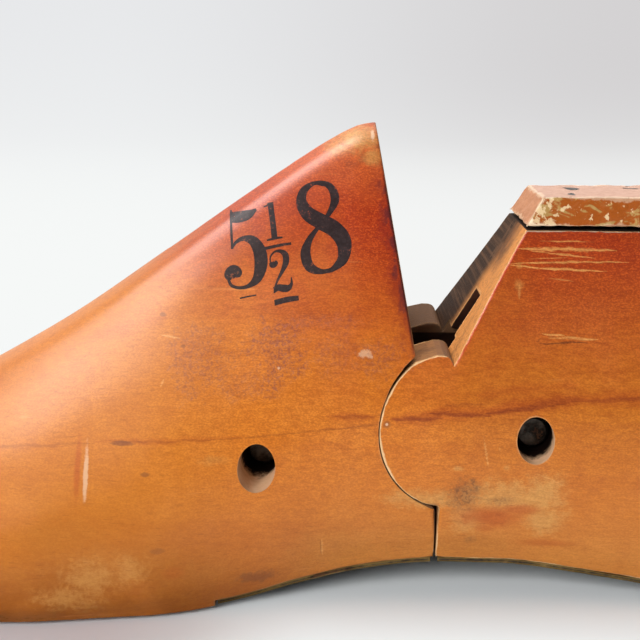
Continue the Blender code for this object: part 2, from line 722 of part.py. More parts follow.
def thimble(steel, carrier):
    """The tube that a jack's pin goes into, from the cap's top down into the heel."""
    low = TOP_HEIGHT - THIMBLE_DEPTH
    made = turned("jack_thimble", [(THIMBLE_RADIUS, low), (THIMBLE_RADIUS, CAP_TOP)], ROUND_SIDES)
    inside = THIMBLE_RADIUS - THIMBLE_WALL
    bore = turned("thimble_bore", [(inside, low + THIMBLE_WALL), (inside, CEILING)], ROUND_SIDES)
    moved_by(made, (THIMBLE_X, 0, 0))
    moved_by(bore, (THIMBLE_X, 0, 0))
    boolean(made, bore)
    return finish(made, steel, carrier, True)


def cross_pin(name, centre, steel, carrier=None):
    """A steel pin across the mortise, sunk well below the wood's sides."""
    low_y = MORTISE_OFFSET - PIN_LENGTH / 2
    made = cross_rod(name, centre, PIN_RADIUS, low_y, low_y + PIN_LENGTH)
    return finish(made, steel, carrier, True)


# The sprung link, drawn along its own line from the front pin

def strap_inner_width():
    """Width between the strap's legs, which the spring fills."""
    return SPRING_DIAMETER + 2 * RUNNING_GAP


def bridge_x():
    """Inner face of the strap's bend, where the spring pushes."""
    return LINK_REACH + SADDLE_LENGTH + SPRING_LENGTH + 2 * GAP


def link_back_reach():
    """How far the strap's outer corner can swing from the rear pin."""
    return math.hypot(bridge_x() + STRAP_THICKNESS - LINK_REACH, STRAP_HEIGHT / 2)


def link_strap(steel, carrier):
    """A strap bent to a U: round eyes on the front pin, slots round the rear pin and a bend behind it."""
    half = strap_inner_width() / 2
    outer = half + STRAP_THICKNESS
    end = bridge_x() + STRAP_THICKNESS
    front = -STRAP_HEIGHT / 2 - OVERRUN
    corner = min(STRAP_CORNER, outer)
    bend = []
    for i in range(ARC_STEPS // 4 + 1):
        angle = math.pi / 2 * i / (ARC_STEPS // 4)
        bend.append((end - corner + corner * math.sin(angle), outer - corner + corner * math.cos(angle)))
    plan = [(front, outer)] + bend + [(x, -y) for x, y in reversed(bend)] + [(front, -outer)]
    plan += [(front, -half), (bridge_x(), -half), (bridge_x(), half), (front, half)]
    bm = bmesh.new()
    face = bm.faces.new([bm.verts.new((x, y + MORTISE_OFFSET, -STRAP_HEIGHT)) for x, y in plan])
    extruded = bmesh.ops.extrude_face_region(bm, geom=[face])
    corners = [item for item in extruded["geom"] if isinstance(item, bmesh.types.BMVert)]
    bmesh.ops.translate(bm, verts=corners, vec=(0, 0, 2 * STRAP_HEIGHT))
    made = mesh_object("link_strap", bm)
    reach = outer + OVERRUN
    low_y, high_y = MORTISE_OFFSET - reach, MORTISE_OFFSET + reach
    eye = STRAP_HEIGHT / 2
    half_round = [math.pi / 2 + math.pi * i / ARC_STEPS for i in range(ARC_STEPS + 1)]
    side = [(eye * math.cos(a), eye * math.sin(a)) for a in half_round]
    side += [(end + OVERRUN, -eye), (end + OVERRUN, eye)]
    tools = [prism("strap_side", side, low_y, high_y)]
    hole = PIN_RADIUS + GAP
    tools.append(cross_rod("strap_eye", (0, 0), hole, low_y, high_y))
    slot = []
    for shift, first in ((SLOT_TRAVEL, -math.pi / 2), (-SLOT_TRAVEL, math.pi / 2)):
        angles = [first + math.pi * i / (ARC_STEPS // 2) for i in range(ARC_STEPS // 2 + 1)]
        slot += [(LINK_REACH + shift + hole * math.cos(a), hole * math.sin(a)) for a in angles]
    tools.append(prism("strap_slot", slot, low_y, high_y))
    for tool, operation in zip(tools, ("INTERSECT", "DIFFERENCE", "DIFFERENCE")):
        place_on_link(tool, carrier)
        boolean(made, tool, operation)
    place_on_link(made, carrier)
    return finish(made, steel)


def place_on_link(made, carrier):
    """Sets an object drawn on the link's own line onto its carrier."""
    made.parent = carrier


def saddle(steel, carrier):
    """A block between the legs, hollowed to sit behind the rear pin and flat for the spring."""
    radius = PIN_RADIUS + RUNNING_GAP
    half = SADDLE_HEIGHT / 2
    steps = ARC_STEPS // 2
    hollow = [(LINK_REACH + radius * math.cos(a), radius * math.sin(a))
              for a in [SADDLE_WRAP * (2 * i / steps - 1) for i in range(steps + 1)]]
    back = LINK_REACH + SADDLE_LENGTH
    nose = LINK_REACH + radius * math.cos(SADDLE_WRAP)
    outline = hollow + [(nose, half), (back, half), (back, -half), (nose, -half)]
    width = strap_inner_width() - 2 * GAP
    made = prism("spring_saddle", outline, MORTISE_OFFSET - width / 2, MORTISE_OFFSET + width / 2)
    place_on_link(made, carrier)
    return finish(made, steel)


def spring_path():
    """Points along the spring's wire, on one even helix between the saddle and the bend."""
    first = LINK_REACH + SADDLE_LENGTH + GAP + SPRING_WIRE / 2
    length = SPRING_LENGTH - SPRING_WIRE
    radius = (SPRING_DIAMETER - SPRING_WIRE) / 2
    count = int(SPRING_CURLS * POINTS_PER_CURL)
    points = []
    for i in range(count + 1):
        angle = 2 * math.pi * SPRING_CURLS * i / count
        points.append((first + length * i / count, MORTISE_OFFSET + radius * math.cos(angle),
                       radius * math.sin(angle)))
    return points


def least_spring_gap(points):
    """Least clear space between one curl and the next."""
    least = math.inf
    for i, point in enumerate(points):
        for other in points[i + POINTS_PER_CURL // 2:]:
            least = min(least, math.dist(point, other))
    return least - SPRING_WIRE


def link_spring(steel, carrier):
    """The coil spring that draws the two wooden parts together."""
    points = spring_path()
    curve = bpy.data.curves.new("link_spring", "CURVE")
    curve.dimensions = "3D"
    curve.bevel_depth = SPRING_WIRE / 2
    curve.bevel_resolution = 1
    curve.use_fill_caps = True
    spline = curve.splines.new("POLY")
    spline.points.add(len(points) - 1)
    for target, point in zip(spline.points, points):
        target.co = (*point, 1)
    made = bpy.data.objects.new("link_spring", curve)
    bpy.context.collection.objects.link(made)
    made.data.materials.append(steel)
    place_on_link(made, carrier)
    print("least gap between the spring's curls, mm:", round(least_spring_gap(points) * 1000, 2))
    return made


# Putting the last together

def main():
    for old in list(bpy.data.objects):
        bpy.data.objects.remove(old, do_unlink=True)
    wood = material("shellacked_maple", (0.62, 0.24, 0.05), 0.35, 0)
    leather = material("sole_leather", (0.45, 0.27, 0.16), 0.7, 0)
    iron = material("sole_iron", (0.10, 0.09, 0.07), 0.55, 0.9)
    steel = material("bright_steel", (0.45, 0.44, 0.42), 0.35, 1)

    heel_axis = axis_empty("heel_hinge_axis", (HINGE_X, 0, HINGE_HEIGHT))
    link_axis = axis_empty("link_axis", (FRONT_PIN[0], 0, FRONT_PIN[1]), -LINK_ANGLE)

    forepart = forepart_block(wood)
    cross_pin("front_pin", FRONT_PIN, steel)
    shank_plate = sole_plate("forepart_sole_plate", plate_shares(shank_plate_span(), False), iron)
    places = plate_nail_places(shank_plate_span(), SHANK_NAIL_SHARES)
    drive_nails("shank_plate_nail", places, PLATE_NAIL_LENGTH, True, (forepart, shank_plate), iron)

    heel = heel_block(wood, heel_axis)
    cross_pin("rear_pin", REAR_PIN, steel, heel_axis)
    heel_plate = sole_plate("heel_sole_plate", plate_shares(heel_plate_span(), True), iron, heel_axis)
    places = plate_nail_places(heel_plate_span(), HEEL_NAIL_SHARES)
    drive_nails("heel_plate_nail", places, PLATE_NAIL_LENGTH, True, (heel, heel_plate), iron, heel_axis)
    cap = top_cap(leather, heel_axis)
    drive_nails("cap_nail", cap_nail_places(), CAP_NAIL_LENGTH, False, (heel, cap), iron, heel_axis)
    thimble(steel, heel_axis)

    link_strap(steel, link_axis)
    saddle(steel, link_axis)
    link_spring(steel, link_axis)


main()
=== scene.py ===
# %% [markdown]
# A hinged shoe last, dressed
#
# A last is the wooden foot that a shoe is built on. This one is split by a V cut over a round joint, so
# that it can be bent and drawn out of the finished shoe. Its construction is fixed already: the packed
# model gives every solid and every joint. This lesson gives the last its surface: turned maple under old
# shellac, a leather lift on the heel, iron plates under the sole, and the size stamped on its side in
# ink.
#
# The frame comes first, because every piece below is fitted to it. All lengths are in metres.

# %% Load the frame
import json
import math

import bmesh
import bpy
import numpy as np
from mathutils import Matrix, Vector, noise
from mathutils.bvhtree import BVHTree
from mathutils.kdtree import KDTree


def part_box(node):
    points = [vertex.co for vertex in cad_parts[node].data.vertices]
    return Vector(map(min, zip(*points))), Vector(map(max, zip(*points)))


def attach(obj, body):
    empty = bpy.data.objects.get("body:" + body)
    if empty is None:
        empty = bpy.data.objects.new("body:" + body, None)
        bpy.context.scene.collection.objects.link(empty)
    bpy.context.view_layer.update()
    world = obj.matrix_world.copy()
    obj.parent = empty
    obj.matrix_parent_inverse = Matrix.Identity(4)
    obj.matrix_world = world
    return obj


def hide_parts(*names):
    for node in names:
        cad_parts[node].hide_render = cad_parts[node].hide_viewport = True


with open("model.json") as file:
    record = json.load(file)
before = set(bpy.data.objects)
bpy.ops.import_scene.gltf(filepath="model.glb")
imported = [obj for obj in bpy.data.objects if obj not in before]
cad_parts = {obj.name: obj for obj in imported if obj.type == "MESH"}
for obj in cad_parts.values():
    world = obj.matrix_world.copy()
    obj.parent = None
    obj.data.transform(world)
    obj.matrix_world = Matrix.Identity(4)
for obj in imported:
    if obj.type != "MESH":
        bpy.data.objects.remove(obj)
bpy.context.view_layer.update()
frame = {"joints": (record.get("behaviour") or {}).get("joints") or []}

joints = {joint["name"]: joint for joint in frame["joints"]}
hinge = Vector(joints["heel_hinge"]["pos_m"])
print("hinge in mm:", [round(value * 1000, 2) for value in hinge])

# %% [markdown]
# The camera stands where the photographer stood: low, close and a little above the last, looking at the
# inner side of the forepart. Its place was worked out from the edges of the V cut, whose far and near
# corners are a known width apart.

# %% The camera
camera_data = bpy.data.cameras.new("photo_camera")
camera_data.lens = 63.17
camera_data.sensor_width = 36
camera = bpy.data.objects.new("photo_camera", camera_data)
camera.location = (0.0035653, -0.21528, 0.1024121)
camera.rotation_euler = (math.radians(76), 0, math.radians(1.0889726))
bpy.context.collection.objects.link(camera)
bpy.context.scene.camera = camera
bpy.context.scene.view_settings.view_transform = "Standard"
print("width seen at the last, mm:",
      round(-camera.location.y * camera_data.sensor_width / camera_data.lens * 1000))

# %% [markdown]
# The room, the floor and every finish are small networks of nodes. A few lines of help keep their wiring
# short: each adds a node, joins its inputs and gives back its output, so that a network reads like a sum.

# %% A short way to wire nodes
def rgb(red, green, blue):
    """A colour as a screen shows it, from 0 to 255, in the linear values that a shader reads."""
    values = [channel / 255 for channel in (red, green, blue)]
    return (*[v / 12.92 if v <= 0.04045 else ((v + 0.055) / 1.055) ** 2.4 for v in values], 1.0)


class Wiring:
    """Adds nodes to a tree and gives back their output sockets."""

    def __init__(self, tree):
        self.tree = tree

    def join(self, value, socket):
        if isinstance(value, bpy.types.NodeSocket):
            self.tree.links.new(value, socket)
        else:
            socket.default_value = value

    def add(self, kind, inputs=(), **settings):
        node = self.tree.nodes.new(kind)
        for name, value in settings.items():
            setattr(node, name, value)
        for key, value in dict(inputs).items():
            if value is not None:
                self.join(value, node.inputs[key])
        return node

    def math(self, operation, a, b=None, c=None):
        return self.add("ShaderNodeMath", {0: a, 1: b, 2: c}, operation=operation).outputs[0]

    def plus(self, a, b):
        return self.math("ADD", a, b)

    def minus(self, a, b):
        return self.math("SUBTRACT", a, b)

    def times(self, a, b):
        return self.math("MULTIPLY", a, b)

    def times_plus(self, a, b, c):
        return self.math("MULTIPLY_ADD", a, b, c)

    def highest(self, a, b):
        return self.math("MAXIMUM", a, b)

    def vector(self, operation, a, b=None, scale=None):
        node = self.add("ShaderNodeVectorMath", {0: a, 1: b, "Scale": scale}, operation=operation)
        return node.outputs["Value" if operation in ("LENGTH", "DOT_PRODUCT", "DISTANCE") else "Vector"]

    def ramp(self, value, low, high, to_low=0.0, to_high=1.0):
        """A smooth step of a value between two limits."""
        node = self.add("ShaderNodeMapRange", {"Value": value, "From Min": low, "From Max": high,
                                               "To Min": to_low, "To Max": to_high},
                        interpolation_type="SMOOTHSTEP", clamp=False)
        return node.outputs["Result"]

    def mix(self, share, a, b, blend="MIX"):
        node = self.add("ShaderNodeMix", {0: share, 6: a, 7: b}, data_type="RGBA", blend_type=blend)
        return node.outputs[2]

    def noise(self, vector, scale, detail=3.0, roughness=0.5, distortion=0.0):
        node = self.add("ShaderNodeTexNoise", {"Vector": vector, "Scale": scale, "Detail": detail,
                                               "Roughness": roughness, "Distortion": distortion})
        return node.outputs["Fac"]

    def stretched(self, vector, scales):
        """Coordinates scaled apart, so that a pattern runs along the wood."""
        return self.add("ShaderNodeMapping", {"Vector": vector, "Scale": scales}).outputs["Vector"]

    def give(self, shader, **values):
        """Sets or joins a shader's inputs, by name with _ for a space."""
        for name, value in values.items():
            self.join(value, shader.inputs[name.replace("_", " ")])

    def roughen(self, shader, height, strength, distance):
        """A fine relief on a shader."""
        bump = self.add("ShaderNodeBump", {"Height": height, "Strength": strength, "Distance": distance})
        self.join(bump.outputs["Normal"], shader.inputs["Normal"])

    def place(self, output="Object"):
        """The point, or the way that the surface faces, in the piece's own coordinates."""
        return self.add("ShaderNodeTexCoord").outputs[output]

    def parts(self, vector):
        return self.add("ShaderNodeSeparateXYZ", {0: vector}).outputs

    def use(self, group, **inputs):
        """A shared effect with its own values, by socket name with _ for a space."""
        node = self.add("ShaderNodeGroup", node_tree=group)
        for name, value in inputs.items():
            self.join(value, node.inputs[name.replace("_", " ").capitalize()])
        return node.outputs


def shared_effect(name, inputs, outputs):
    """An empty node group with named sockets: its wiring, its start and its end."""
    tree = bpy.data.node_groups.new(name, "ShaderNodeTree")
    for socket, kind, value in inputs:
        made = tree.interface.new_socket(socket, in_out="INPUT", socket_type=f"NodeSocket{kind}")
        made.default_value = value
    for socket, kind in outputs:
        tree.interface.new_socket(socket, in_out="OUTPUT", socket_type=f"NodeSocket{kind}")
    start = tree.nodes.new("NodeGroupInput")
    end = tree.nodes.new("NodeGroupOutput")
    return Wiring(tree), start.outputs, end.inputs


def finish(name):
    """A new material: the material, its wiring and its shader."""
    made = bpy.data.materials.new(name)
    made.use_nodes = True
    return made, Wiring(made.node_tree), made.node_tree.nodes["Principled BSDF"]


print("wiring ready")

# %% [markdown]
# The light is soft daylight, built from three panels. A broad window stands high behind the last and
# lights its top and the floor. A lower lamp in front on the left fills the side that faces the camera and
# shines into its holes. Neither is mirrored, so the colour of the wood stays deep. The long pale gleam
# along the ridge is the glare of a third panel, up on the left, that only reflections see: it can be
# placed for the gleam alone. All are kept so low that a colour comes out about as it is painted. The
# world lights the rest faintly: rays that the camera sends see a pale room, and so do reflections that
# look towards the back, while the room behind the camera is dim.

# %% The lights and the world
def panel_light(name, place, target, size, power, colour, lights=True, mirrored=True):
    """A rectangular light that faces a point. It can be left out of plain shading or of reflections."""
    data = bpy.data.lights.new(name, "AREA")
    data.shape = "RECTANGLE"
    data.size, data.size_y = size
    data.energy = power
    data.color = colour
    lamp = bpy.data.objects.new(name, data)
    lamp.location = place
    lamp.rotation_euler = (Vector(target) - Vector(place)).to_track_quat("-Z", "Y").to_euler()
    lamp.visible_camera = False
    lamp.visible_diffuse, lamp.visible_glossy = lights, mirrored
    bpy.context.collection.objects.link(lamp)
    return lamp


middle = (0, 0, 0.04)
panel_light("window", (0.06, 0.42, 0.62), middle, (0.6, 0.6), 9.6, (1.0, 0.99, 0.975), mirrored=False)
panel_light("window_glare", (-0.41, -0.1, 0.78), middle, (0.54, 0.46), 8.6, (1.0, 0.99, 0.975), lights=False)
panel_light("room_fill", (-0.34, -0.62, 0.4), middle, (0.34, 0.34), 5.5, (1.0, 0.995, 0.985), mirrored=False)


def pale_room():
    """A world that is pale to the camera, dim in front for reflections and faint as a light."""
    world = bpy.data.worlds.new("pale_room")
    world.use_nodes = True
    wires, nodes = Wiring(world.node_tree), world.node_tree.nodes
    wires.join((0.8, 0.81, 0.83, 1), nodes["Background"].inputs["Color"])
    shown = nodes["Background"].outputs[0]
    behind = wires.add("ShaderNodeMapRange",
                       {"Value": wires.parts(wires.place("Generated"))["Y"], "From Min": -0.1,
                        "From Max": 0.4, "To Min": 0.08, "To Max": 0.8}).outputs["Result"]
    mirrored = wires.add("ShaderNodeBackground", {"Color": behind}).outputs[0]
    lighting = wires.add("ShaderNodeBackground",
                         {"Color": (0.95, 0.97, 1.0, 1), "Strength": 0.17}).outputs[0]
    path = wires.add("ShaderNodeLightPath").outputs
    looked_at = wires.highest(path["Is Camera Ray"], path["Is Transmission Ray"])
    first = wires.add("ShaderNodeMixShader", {0: path["Is Glossy Ray"], 1: lighting, 2: mirrored}).outputs[0]
    second = wires.add("ShaderNodeMixShader", {0: looked_at, 1: first, 2: shown}).outputs[0]
    wires.join(second, nodes["World Output"].inputs["Surface"])
    return world


bpy.context.scene.world = pale_room()

# %% [markdown]
# The floor is one sheet of pale card that curves up behind the last, as in a small photographer's sweep.

# %% The floor
def sweep_floor(width, front, back, radius, height):
    """A flat sheet that bends up into a wall."""
    profile = [(-front, 0.0)]
    profile += [(back + radius * math.sin(math.pi / 2 * i / 24),
                 radius - radius * math.cos(math.pi / 2 * i / 24)) for i in range(25)]
    profile += [(back + radius, height)]
    mesh = bpy.data.meshes.new("floor")
    points = [(side * width / 2, y, z) for y, z in profile for side in (-1, 1)]
    faces = [(2 * i, 2 * i + 1, 2 * i + 3, 2 * i + 2) for i in range(len(profile) - 1)]
    mesh.from_pydata(points, [], faces)
    mesh.shade_smooth()
    made = bpy.data.objects.new("floor", mesh)
    bpy.context.collection.objects.link(made)
    return made


floor = sweep_floor(6.0, 1.5, 0.9, 0.6, 2.5)

# %% [markdown]
# Round the last the card is plain and takes the shadow. In front of the toe it is darkened to the camera, a
# painted shadow, and in front of the heel it glows pale, a painted pool of light. Reflections see the card
# in front dark, a painted shade. Further back it glows to the camera and in reflections with a painted
# gradient of light, brightest at the horizon and shaded greyer up to the right.

# %% The card of the floor
def pale_card():
    made, wires, shader = finish("pale_card")
    x, y, z = wires.parts(wires.place())
    path = wires.add("ShaderNodeLightPath").outputs
    card = wires.mix(path["Is Camera Ray"], (0.6, 0.6, 0.605, 1), (0.93, 0.97, 0.99, 1))
    # painted shadow: to the camera the card is darker in front of the toe
    painted_toe_shadow = wires.times(path["Is Camera Ray"], wires.ramp(x, -0.012, -0.044))
    card = wires.mix(painted_toe_shadow, card, (0.8, 0.73, 0.74, 1), "MULTIPLY")
    # painted shade in reflections: glossy rays see the card in front nearly black
    dim = wires.times(path["Is Glossy Ray"], wires.ramp(y, 0.3, 0.0))
    wires.give(shader, Base_Color=wires.mix(dim, card, (0.1, 0.1, 0.1, 1)), Roughness=0.8,
               Specular_IOR_Level=0.1)
    # painted light: further back the card glows with a painted gradient, brightest at the horizon and shaded
    # greyer up to the right
    away = wires.plus(y, z)
    left = wires.mix(wires.ramp(away, 0.25, 1.6), rgb(246, 248, 247), rgb(231, 232, 234))
    right = wires.mix(wires.ramp(away, 0.35, 1.3), rgb(243, 244, 243), rgb(212, 210, 211))
    aside = wires.math("DIVIDE", x, wires.highest(wires.plus(y, 0.215), 0.1))
    shade = wires.mix(wires.ramp(aside, -0.22, 0.26), left, right)
    glow = wires.add("ShaderNodeEmission", {"Color": shade, "Strength": 1.0}).outputs[0]
    looked_at = wires.highest(wires.highest(path["Is Camera Ray"], path["Is Glossy Ray"]),
                              path["Is Transmission Ray"])
    # painted light: in front of the heel the card glows pale, a painted pool of light
    painted_heel_glow = wires.times(wires.ramp(y, -0.018, -0.04), wires.ramp(x, -0.026, 0.002, 0.0, 0.75))
    share = wires.times(looked_at, wires.highest(wires.ramp(away, 0.04, 0.15), painted_heel_glow))
    both = wires.add("ShaderNodeMixShader", {0: share, 1: shader.outputs[0], 2: glow}).outputs[0]
    wires.join(both, made.node_tree.nodes["Material Output"].inputs["Surface"])
    return made


floor.data.materials.append(pale_card())
print("floor finish:", floor.data.materials[0].name)

# %% [markdown]
# The lines of the last
#
# A last is drawn as a few long lines: the height of its ridge, the reach of each side and the sole's
# arch. Between their points runs a smooth curve that never swings past them. The packed solids were
# lofted through these same lines with few faces; here they are read again with many, so that the wood is
# smooth.

# %% Sizes of the last
LAST_LENGTH = 0.222
BALL_HALF_WIDTH = 0.0375
PEAK_HEIGHT = 0.0876
ARCH_RISE = 0.0063
TOE_SPRING = 0.01
HEEL_LIFT = 0.0025
BOTTOM_CROWN = 0.0009
BACK_LEAN = 0.018
ARCH_SHARES = [(0, 0), (0.375, 0), (0.42, 0.09), (0.48, 0.47), (0.54, 0.83), (0.6, 1.0), (0.65, 0.97),
               (0.72, 0.71), (0.8, 0.35), (0.87, 0.08), (0.92, 0), (1, 0)]
TOE_SHARES = [(0, 1), (0.05, 0.56), (0.117, 0.22), (0.185, 0.05), (0.25, 0), (1, 0)]
HEEL_SHARES = [(0, 0), (0.95, 0), (1, 1)]
RIDGE_SHARES = [(0, 0.275), (0.05, 0.317), (0.095, 0.35), (0.14, 0.395), (0.185, 0.447), (0.23, 0.507),
                (0.288, 0.592), (0.36, 0.715), (0.432, 0.84), (0.5, 0.953), (0.518, 0.978), (0.533, 0.994),
                (0.555, 1), (1, 1)]
INNER_SHARES = [(0, 0.62), (0.08, 0.74), (0.18, 0.86), (0.28, 0.96), (0.36, 0.92), (0.44, 0.8),
                (0.52, 0.7), (0.58, 0.668), (0.66, 0.665), (0.75, 0.69), (0.85, 0.72), (1, 0.7)]
OUTER_SHARES = [(0, 0.54), (0.08, 0.68), (0.18, 0.84), (0.28, 0.97), (0.36, 1.0), (0.44, 0.96),
                (0.52, 0.86), (0.58, 0.79), (0.66, 0.74), (0.75, 0.72), (0.85, 0.72), (1, 0.7)]
MIDDLE_SHARES = [(0, -0.2), (0.1, -0.17), (0.2, -0.09), (0.33, 0), (1, 0)]
RIDGE_PLACE_SHARES = [(0, -0.2), (0.15, -0.19), (0.3, -0.13), (0.45, -0.05), (0.55, 0), (1, 0)]
HEIGHT_SHARES = [0, 0.1, 0.22, 0.36, 0.5, 0.64, 0.78, 0.9, 0.97, 1]
INNER_SECTION_SHARES = [
    (0.00, [0.9, 0.985, 1, 0.97, 0.9, 0.79, 0.62, 0.41, 0.22, 0]),
    (0.3, [0.905, 0.985, 1, 0.95, 0.85, 0.7, 0.51, 0.31, 0.16, 0]),
    (0.53, [0.86, 0.955, 1, 0.965, 0.84, 0.62, 0.4, 0.25, 0.14, 0]),
    (0.64, [0.86, 0.95, 1, 0.955, 0.8, 0.56, 0.38, 0.27, 0.16, 0]),
    (0.85, [0.89, 0.96, 1, 0.97, 0.86, 0.67, 0.44, 0.28, 0.16, 0]),
    (1.00, [0.9, 0.97, 1, 0.97, 0.88, 0.74, 0.56, 0.36, 0.2, 0]),
]
OUTER_SECTION_SHARES = [
    (0.00, [0.9, 0.985, 1, 0.97, 0.9, 0.79, 0.62, 0.41, 0.22, 0]),
    (0.3, [0.905, 0.99, 1, 0.93, 0.8, 0.63, 0.44, 0.27, 0.14, 0]),
    (0.53, [0.9, 0.97, 1, 0.93, 0.75, 0.56, 0.36, 0.21, 0.11, 0]),
    (0.64, [0.9, 0.965, 1, 0.92, 0.73, 0.56, 0.4, 0.27, 0.16, 0]),
    (0.85, [0.89, 0.96, 1, 0.97, 0.86, 0.67, 0.46, 0.28, 0.16, 0]),
    (1.00, [0.9, 0.97, 1, 0.97, 0.88, 0.74, 0.56, 0.36, 0.2, 0]),
]
BACK_CURVE_SHARES = [(0, 0.36), (0.06, 0.22), (0.14, 0.07), (0.25, 0), (0.36, 0.06), (0.48, 0.22),
                     (0.6, 0.44), (0.69, 0.6), (0.78, 0.72), (1, 1)]
TOE_CLOSING_SHARE, TOE_TOP_CLOSING_SHARE, TIP_HEIGHT_SHARE = 0.16, 0.065, 0.38
HEEL_CLOSING_SHARE, BACK_CURVE_START_SHARE, FLAT_BOTTOM_SHARE = 0.22, 0.7, 0.12
TOE_ROUNDNESS, TOE_TOP_ROUNDNESS, HEEL_ROUNDNESS = 2.3, 2.6, 2.3
print("length of the lines, mm:", LAST_LENGTH * 1000)

# %% Reading the lines
def smooth(table, shares):
    """Reads a table of points, numbers or rows of them, at one share or many."""
    places = np.array([row[0] for row in table], float)
    values = np.array([row[1] for row in table], float)
    rows = values.reshape(len(places), -1)
    steps = np.diff(places)
    slopes = np.diff(rows, axis=0) / steps[:, None]
    before, after = slopes[:-1], slopes[1:]
    total = np.where(np.abs(before + after) > 0, before + after, 1)
    inner = np.where(before * after > 0, 2 * before * after / total, 0)
    tangents = np.vstack([slopes[:1], inner, slopes[-1:]])
    asked = np.atleast_1d(np.asarray(shares, float))
    index = np.clip(np.searchsorted(places, asked) - 1, 0, len(places) - 2)
    step = steps[index][:, None]
    t = (asked - places[index])[:, None] / step
    made = (rows[index] * (1 + 2 * t) * (1 - t) ** 2 + rows[index + 1] * t * t * (3 - 2 * t)
            + step * t * (1 - t) * (tangents[index] * (1 - t) - tangents[index + 1] * t))
    made = made[:, 0] if values.ndim == 1 else made
    return made if np.ndim(shares) else made[0]


def closing(distance, roundness):
    """How far a round end has opened, from 0 at its tip to 1, at a share of the way in."""
    inside = min(max(distance, 0), 1)
    return (1 - (1 - inside) ** roundness) ** (1 / roundness)


def sole_height(share):
    """Height of the sole's middle line."""
    return (ARCH_RISE * smooth(ARCH_SHARES, share) + TOE_SPRING * smooth(TOE_SHARES, share)
            + HEEL_LIFT * smooth(HEEL_SHARES, share))


def ends_opened(share):
    """How far the toe's and the heel's plan, and the toe's top, have opened."""
    toe = closing(share / TOE_CLOSING_SHARE, TOE_ROUNDNESS)
    top = closing(share / TOE_TOP_CLOSING_SHARE, TOE_TOP_ROUNDNESS)
    heel = closing((1 - share) / HEEL_CLOSING_SHARE, HEEL_ROUNDNESS)
    return toe, top, heel


def side_reach(share, inner):
    """Widest reach of one side from the middle line."""
    toe, _, heel = ends_opened(share)
    return smooth(INNER_SHARES if inner else OUTER_SHARES, share) * BALL_HALF_WIDTH * toe * heel


def crown(across, share):
    """Rise of the sole from its flat middle strip to its edge, across from -1 to 1."""
    _, top, heel = ends_opened(share)
    strip = FLAT_BOTTOM_SHARE ** 2
    return BOTTOM_CROWN * top * heel * np.maximum(across * across - strip, 0) / (1 - strip)


def back_x(heights):
    """Where the heel's back curve stands at a height."""
    return LAST_LENGTH / 2 - BACK_LEAN * smooth(BACK_CURVE_SHARES, np.clip(heights / PEAK_HEIGHT, 0, 1))


def station_x(share, heights):
    """Place along the last of a station, bent to the back curve near the heel."""
    x = (share - 1 / 2) * LAST_LENGTH
    start = (BACK_CURVE_START_SHARE - 1 / 2) * LAST_LENGTH
    if x <= start:
        return np.full(len(heights), x)
    return start + (x - start) * (back_x(heights) - start) / (LAST_LENGTH / 2 - start)


def share_at(x):
    """Share of the length at a place along the last."""
    return x / LAST_LENGTH + 1 / 2


def tip_rise(share):
    """How much the closing toe lifts the sole's edge."""
    height = PEAK_HEIGHT * smooth(RIDGE_SHARES, share) - sole_height(share)
    return TIP_HEIGHT_SHARE * height * (1 - ends_opened(share)[1])


def sole_points(share, across, lift):
    """Points of the sole at places across it from -1 to 1, raised by lift."""
    inner = smooth(INNER_SECTION_SHARES, share)[0] * side_reach(share, True)
    outer = smooth(OUTER_SECTION_SHARES, share)[0] * side_reach(share, False)
    y = BALL_HALF_WIDTH * smooth(MIDDLE_SHARES, share) + across * np.where(across < 0, inner, outer)
    z = sole_height(share) + tip_rise(share) + crown(across, share) + lift
    return np.column_stack([station_x(share, z), y, z])


def side_points(share, levels, inner):
    """Points of one side wall at shares of the section's height."""
    height = PEAK_HEIGHT * smooth(RIDGE_SHARES, share) - sole_height(share)
    low = sole_height(share) + tip_rise(share) + crown(np.array([1.0]), share)[0]
    high = sole_height(share) + height * (TIP_HEIGHT_SHARE + (1 - TIP_HEIGHT_SHARE) * ends_opened(share)[1])
    z = low + (high - low) * levels
    widths = smooth(INNER_SECTION_SHARES if inner else OUTER_SECTION_SHARES, share)
    reach = side_reach(share, inner) * smooth(list(zip(HEIGHT_SHARES, widths)), levels)
    middle_y = BALL_HALF_WIDTH * smooth(MIDDLE_SHARES, share)
    ridge_y = BALL_HALF_WIDTH * smooth(RIDGE_PLACE_SHARES, share)
    centre = middle_y + (ridge_y - middle_y) * levels ** 2
    y = centre - reach if inner else centre + reach
    return np.column_stack([station_x(share, z), y, z])


print("height of the ridge at its peak, mm:",
      round(PEAK_HEIGHT * float(smooth(RIDGE_SHARES, 0.57)) * 1000, 1))

# %% [markdown]
# The wood is carved as a joiner would: a whole last is lofted from its cross sections, and then sawn,
# bored and mortised with cutters. A Boolean with the exact solver keeps each cut where the packed solids
# have theirs.

# %% Lofting and cutting
BOTTOM_STEPS = 28
SIDE_STEPS = 52


def section(share):
    """One cross section, from the inner edge across the sole and round over the ridge."""
    across = np.linspace(-1, 1, BOTTOM_STEPS + 1)
    steps = np.arange(1, SIDE_STEPS + 1) / SIDE_STEPS
    levels = np.sin(math.pi / 2 * steps) * (1 + steps) / 2
    outer = side_points(share, levels, False)
    inner = side_points(share, levels[:-1][::-1], True)
    return np.vstack([sole_points(share, across, 0), outer, inner])


def object_from(name, bm):
    """Makes an object of built faces, with its normals out."""
    bmesh.ops.recalc_face_normals(bm, faces=bm.faces)
    mesh = bpy.data.meshes.new(name)
    bm.to_mesh(mesh)
    bm.free()
    made = bpy.data.objects.new(name, mesh)
    bpy.context.collection.objects.link(made)
    return made


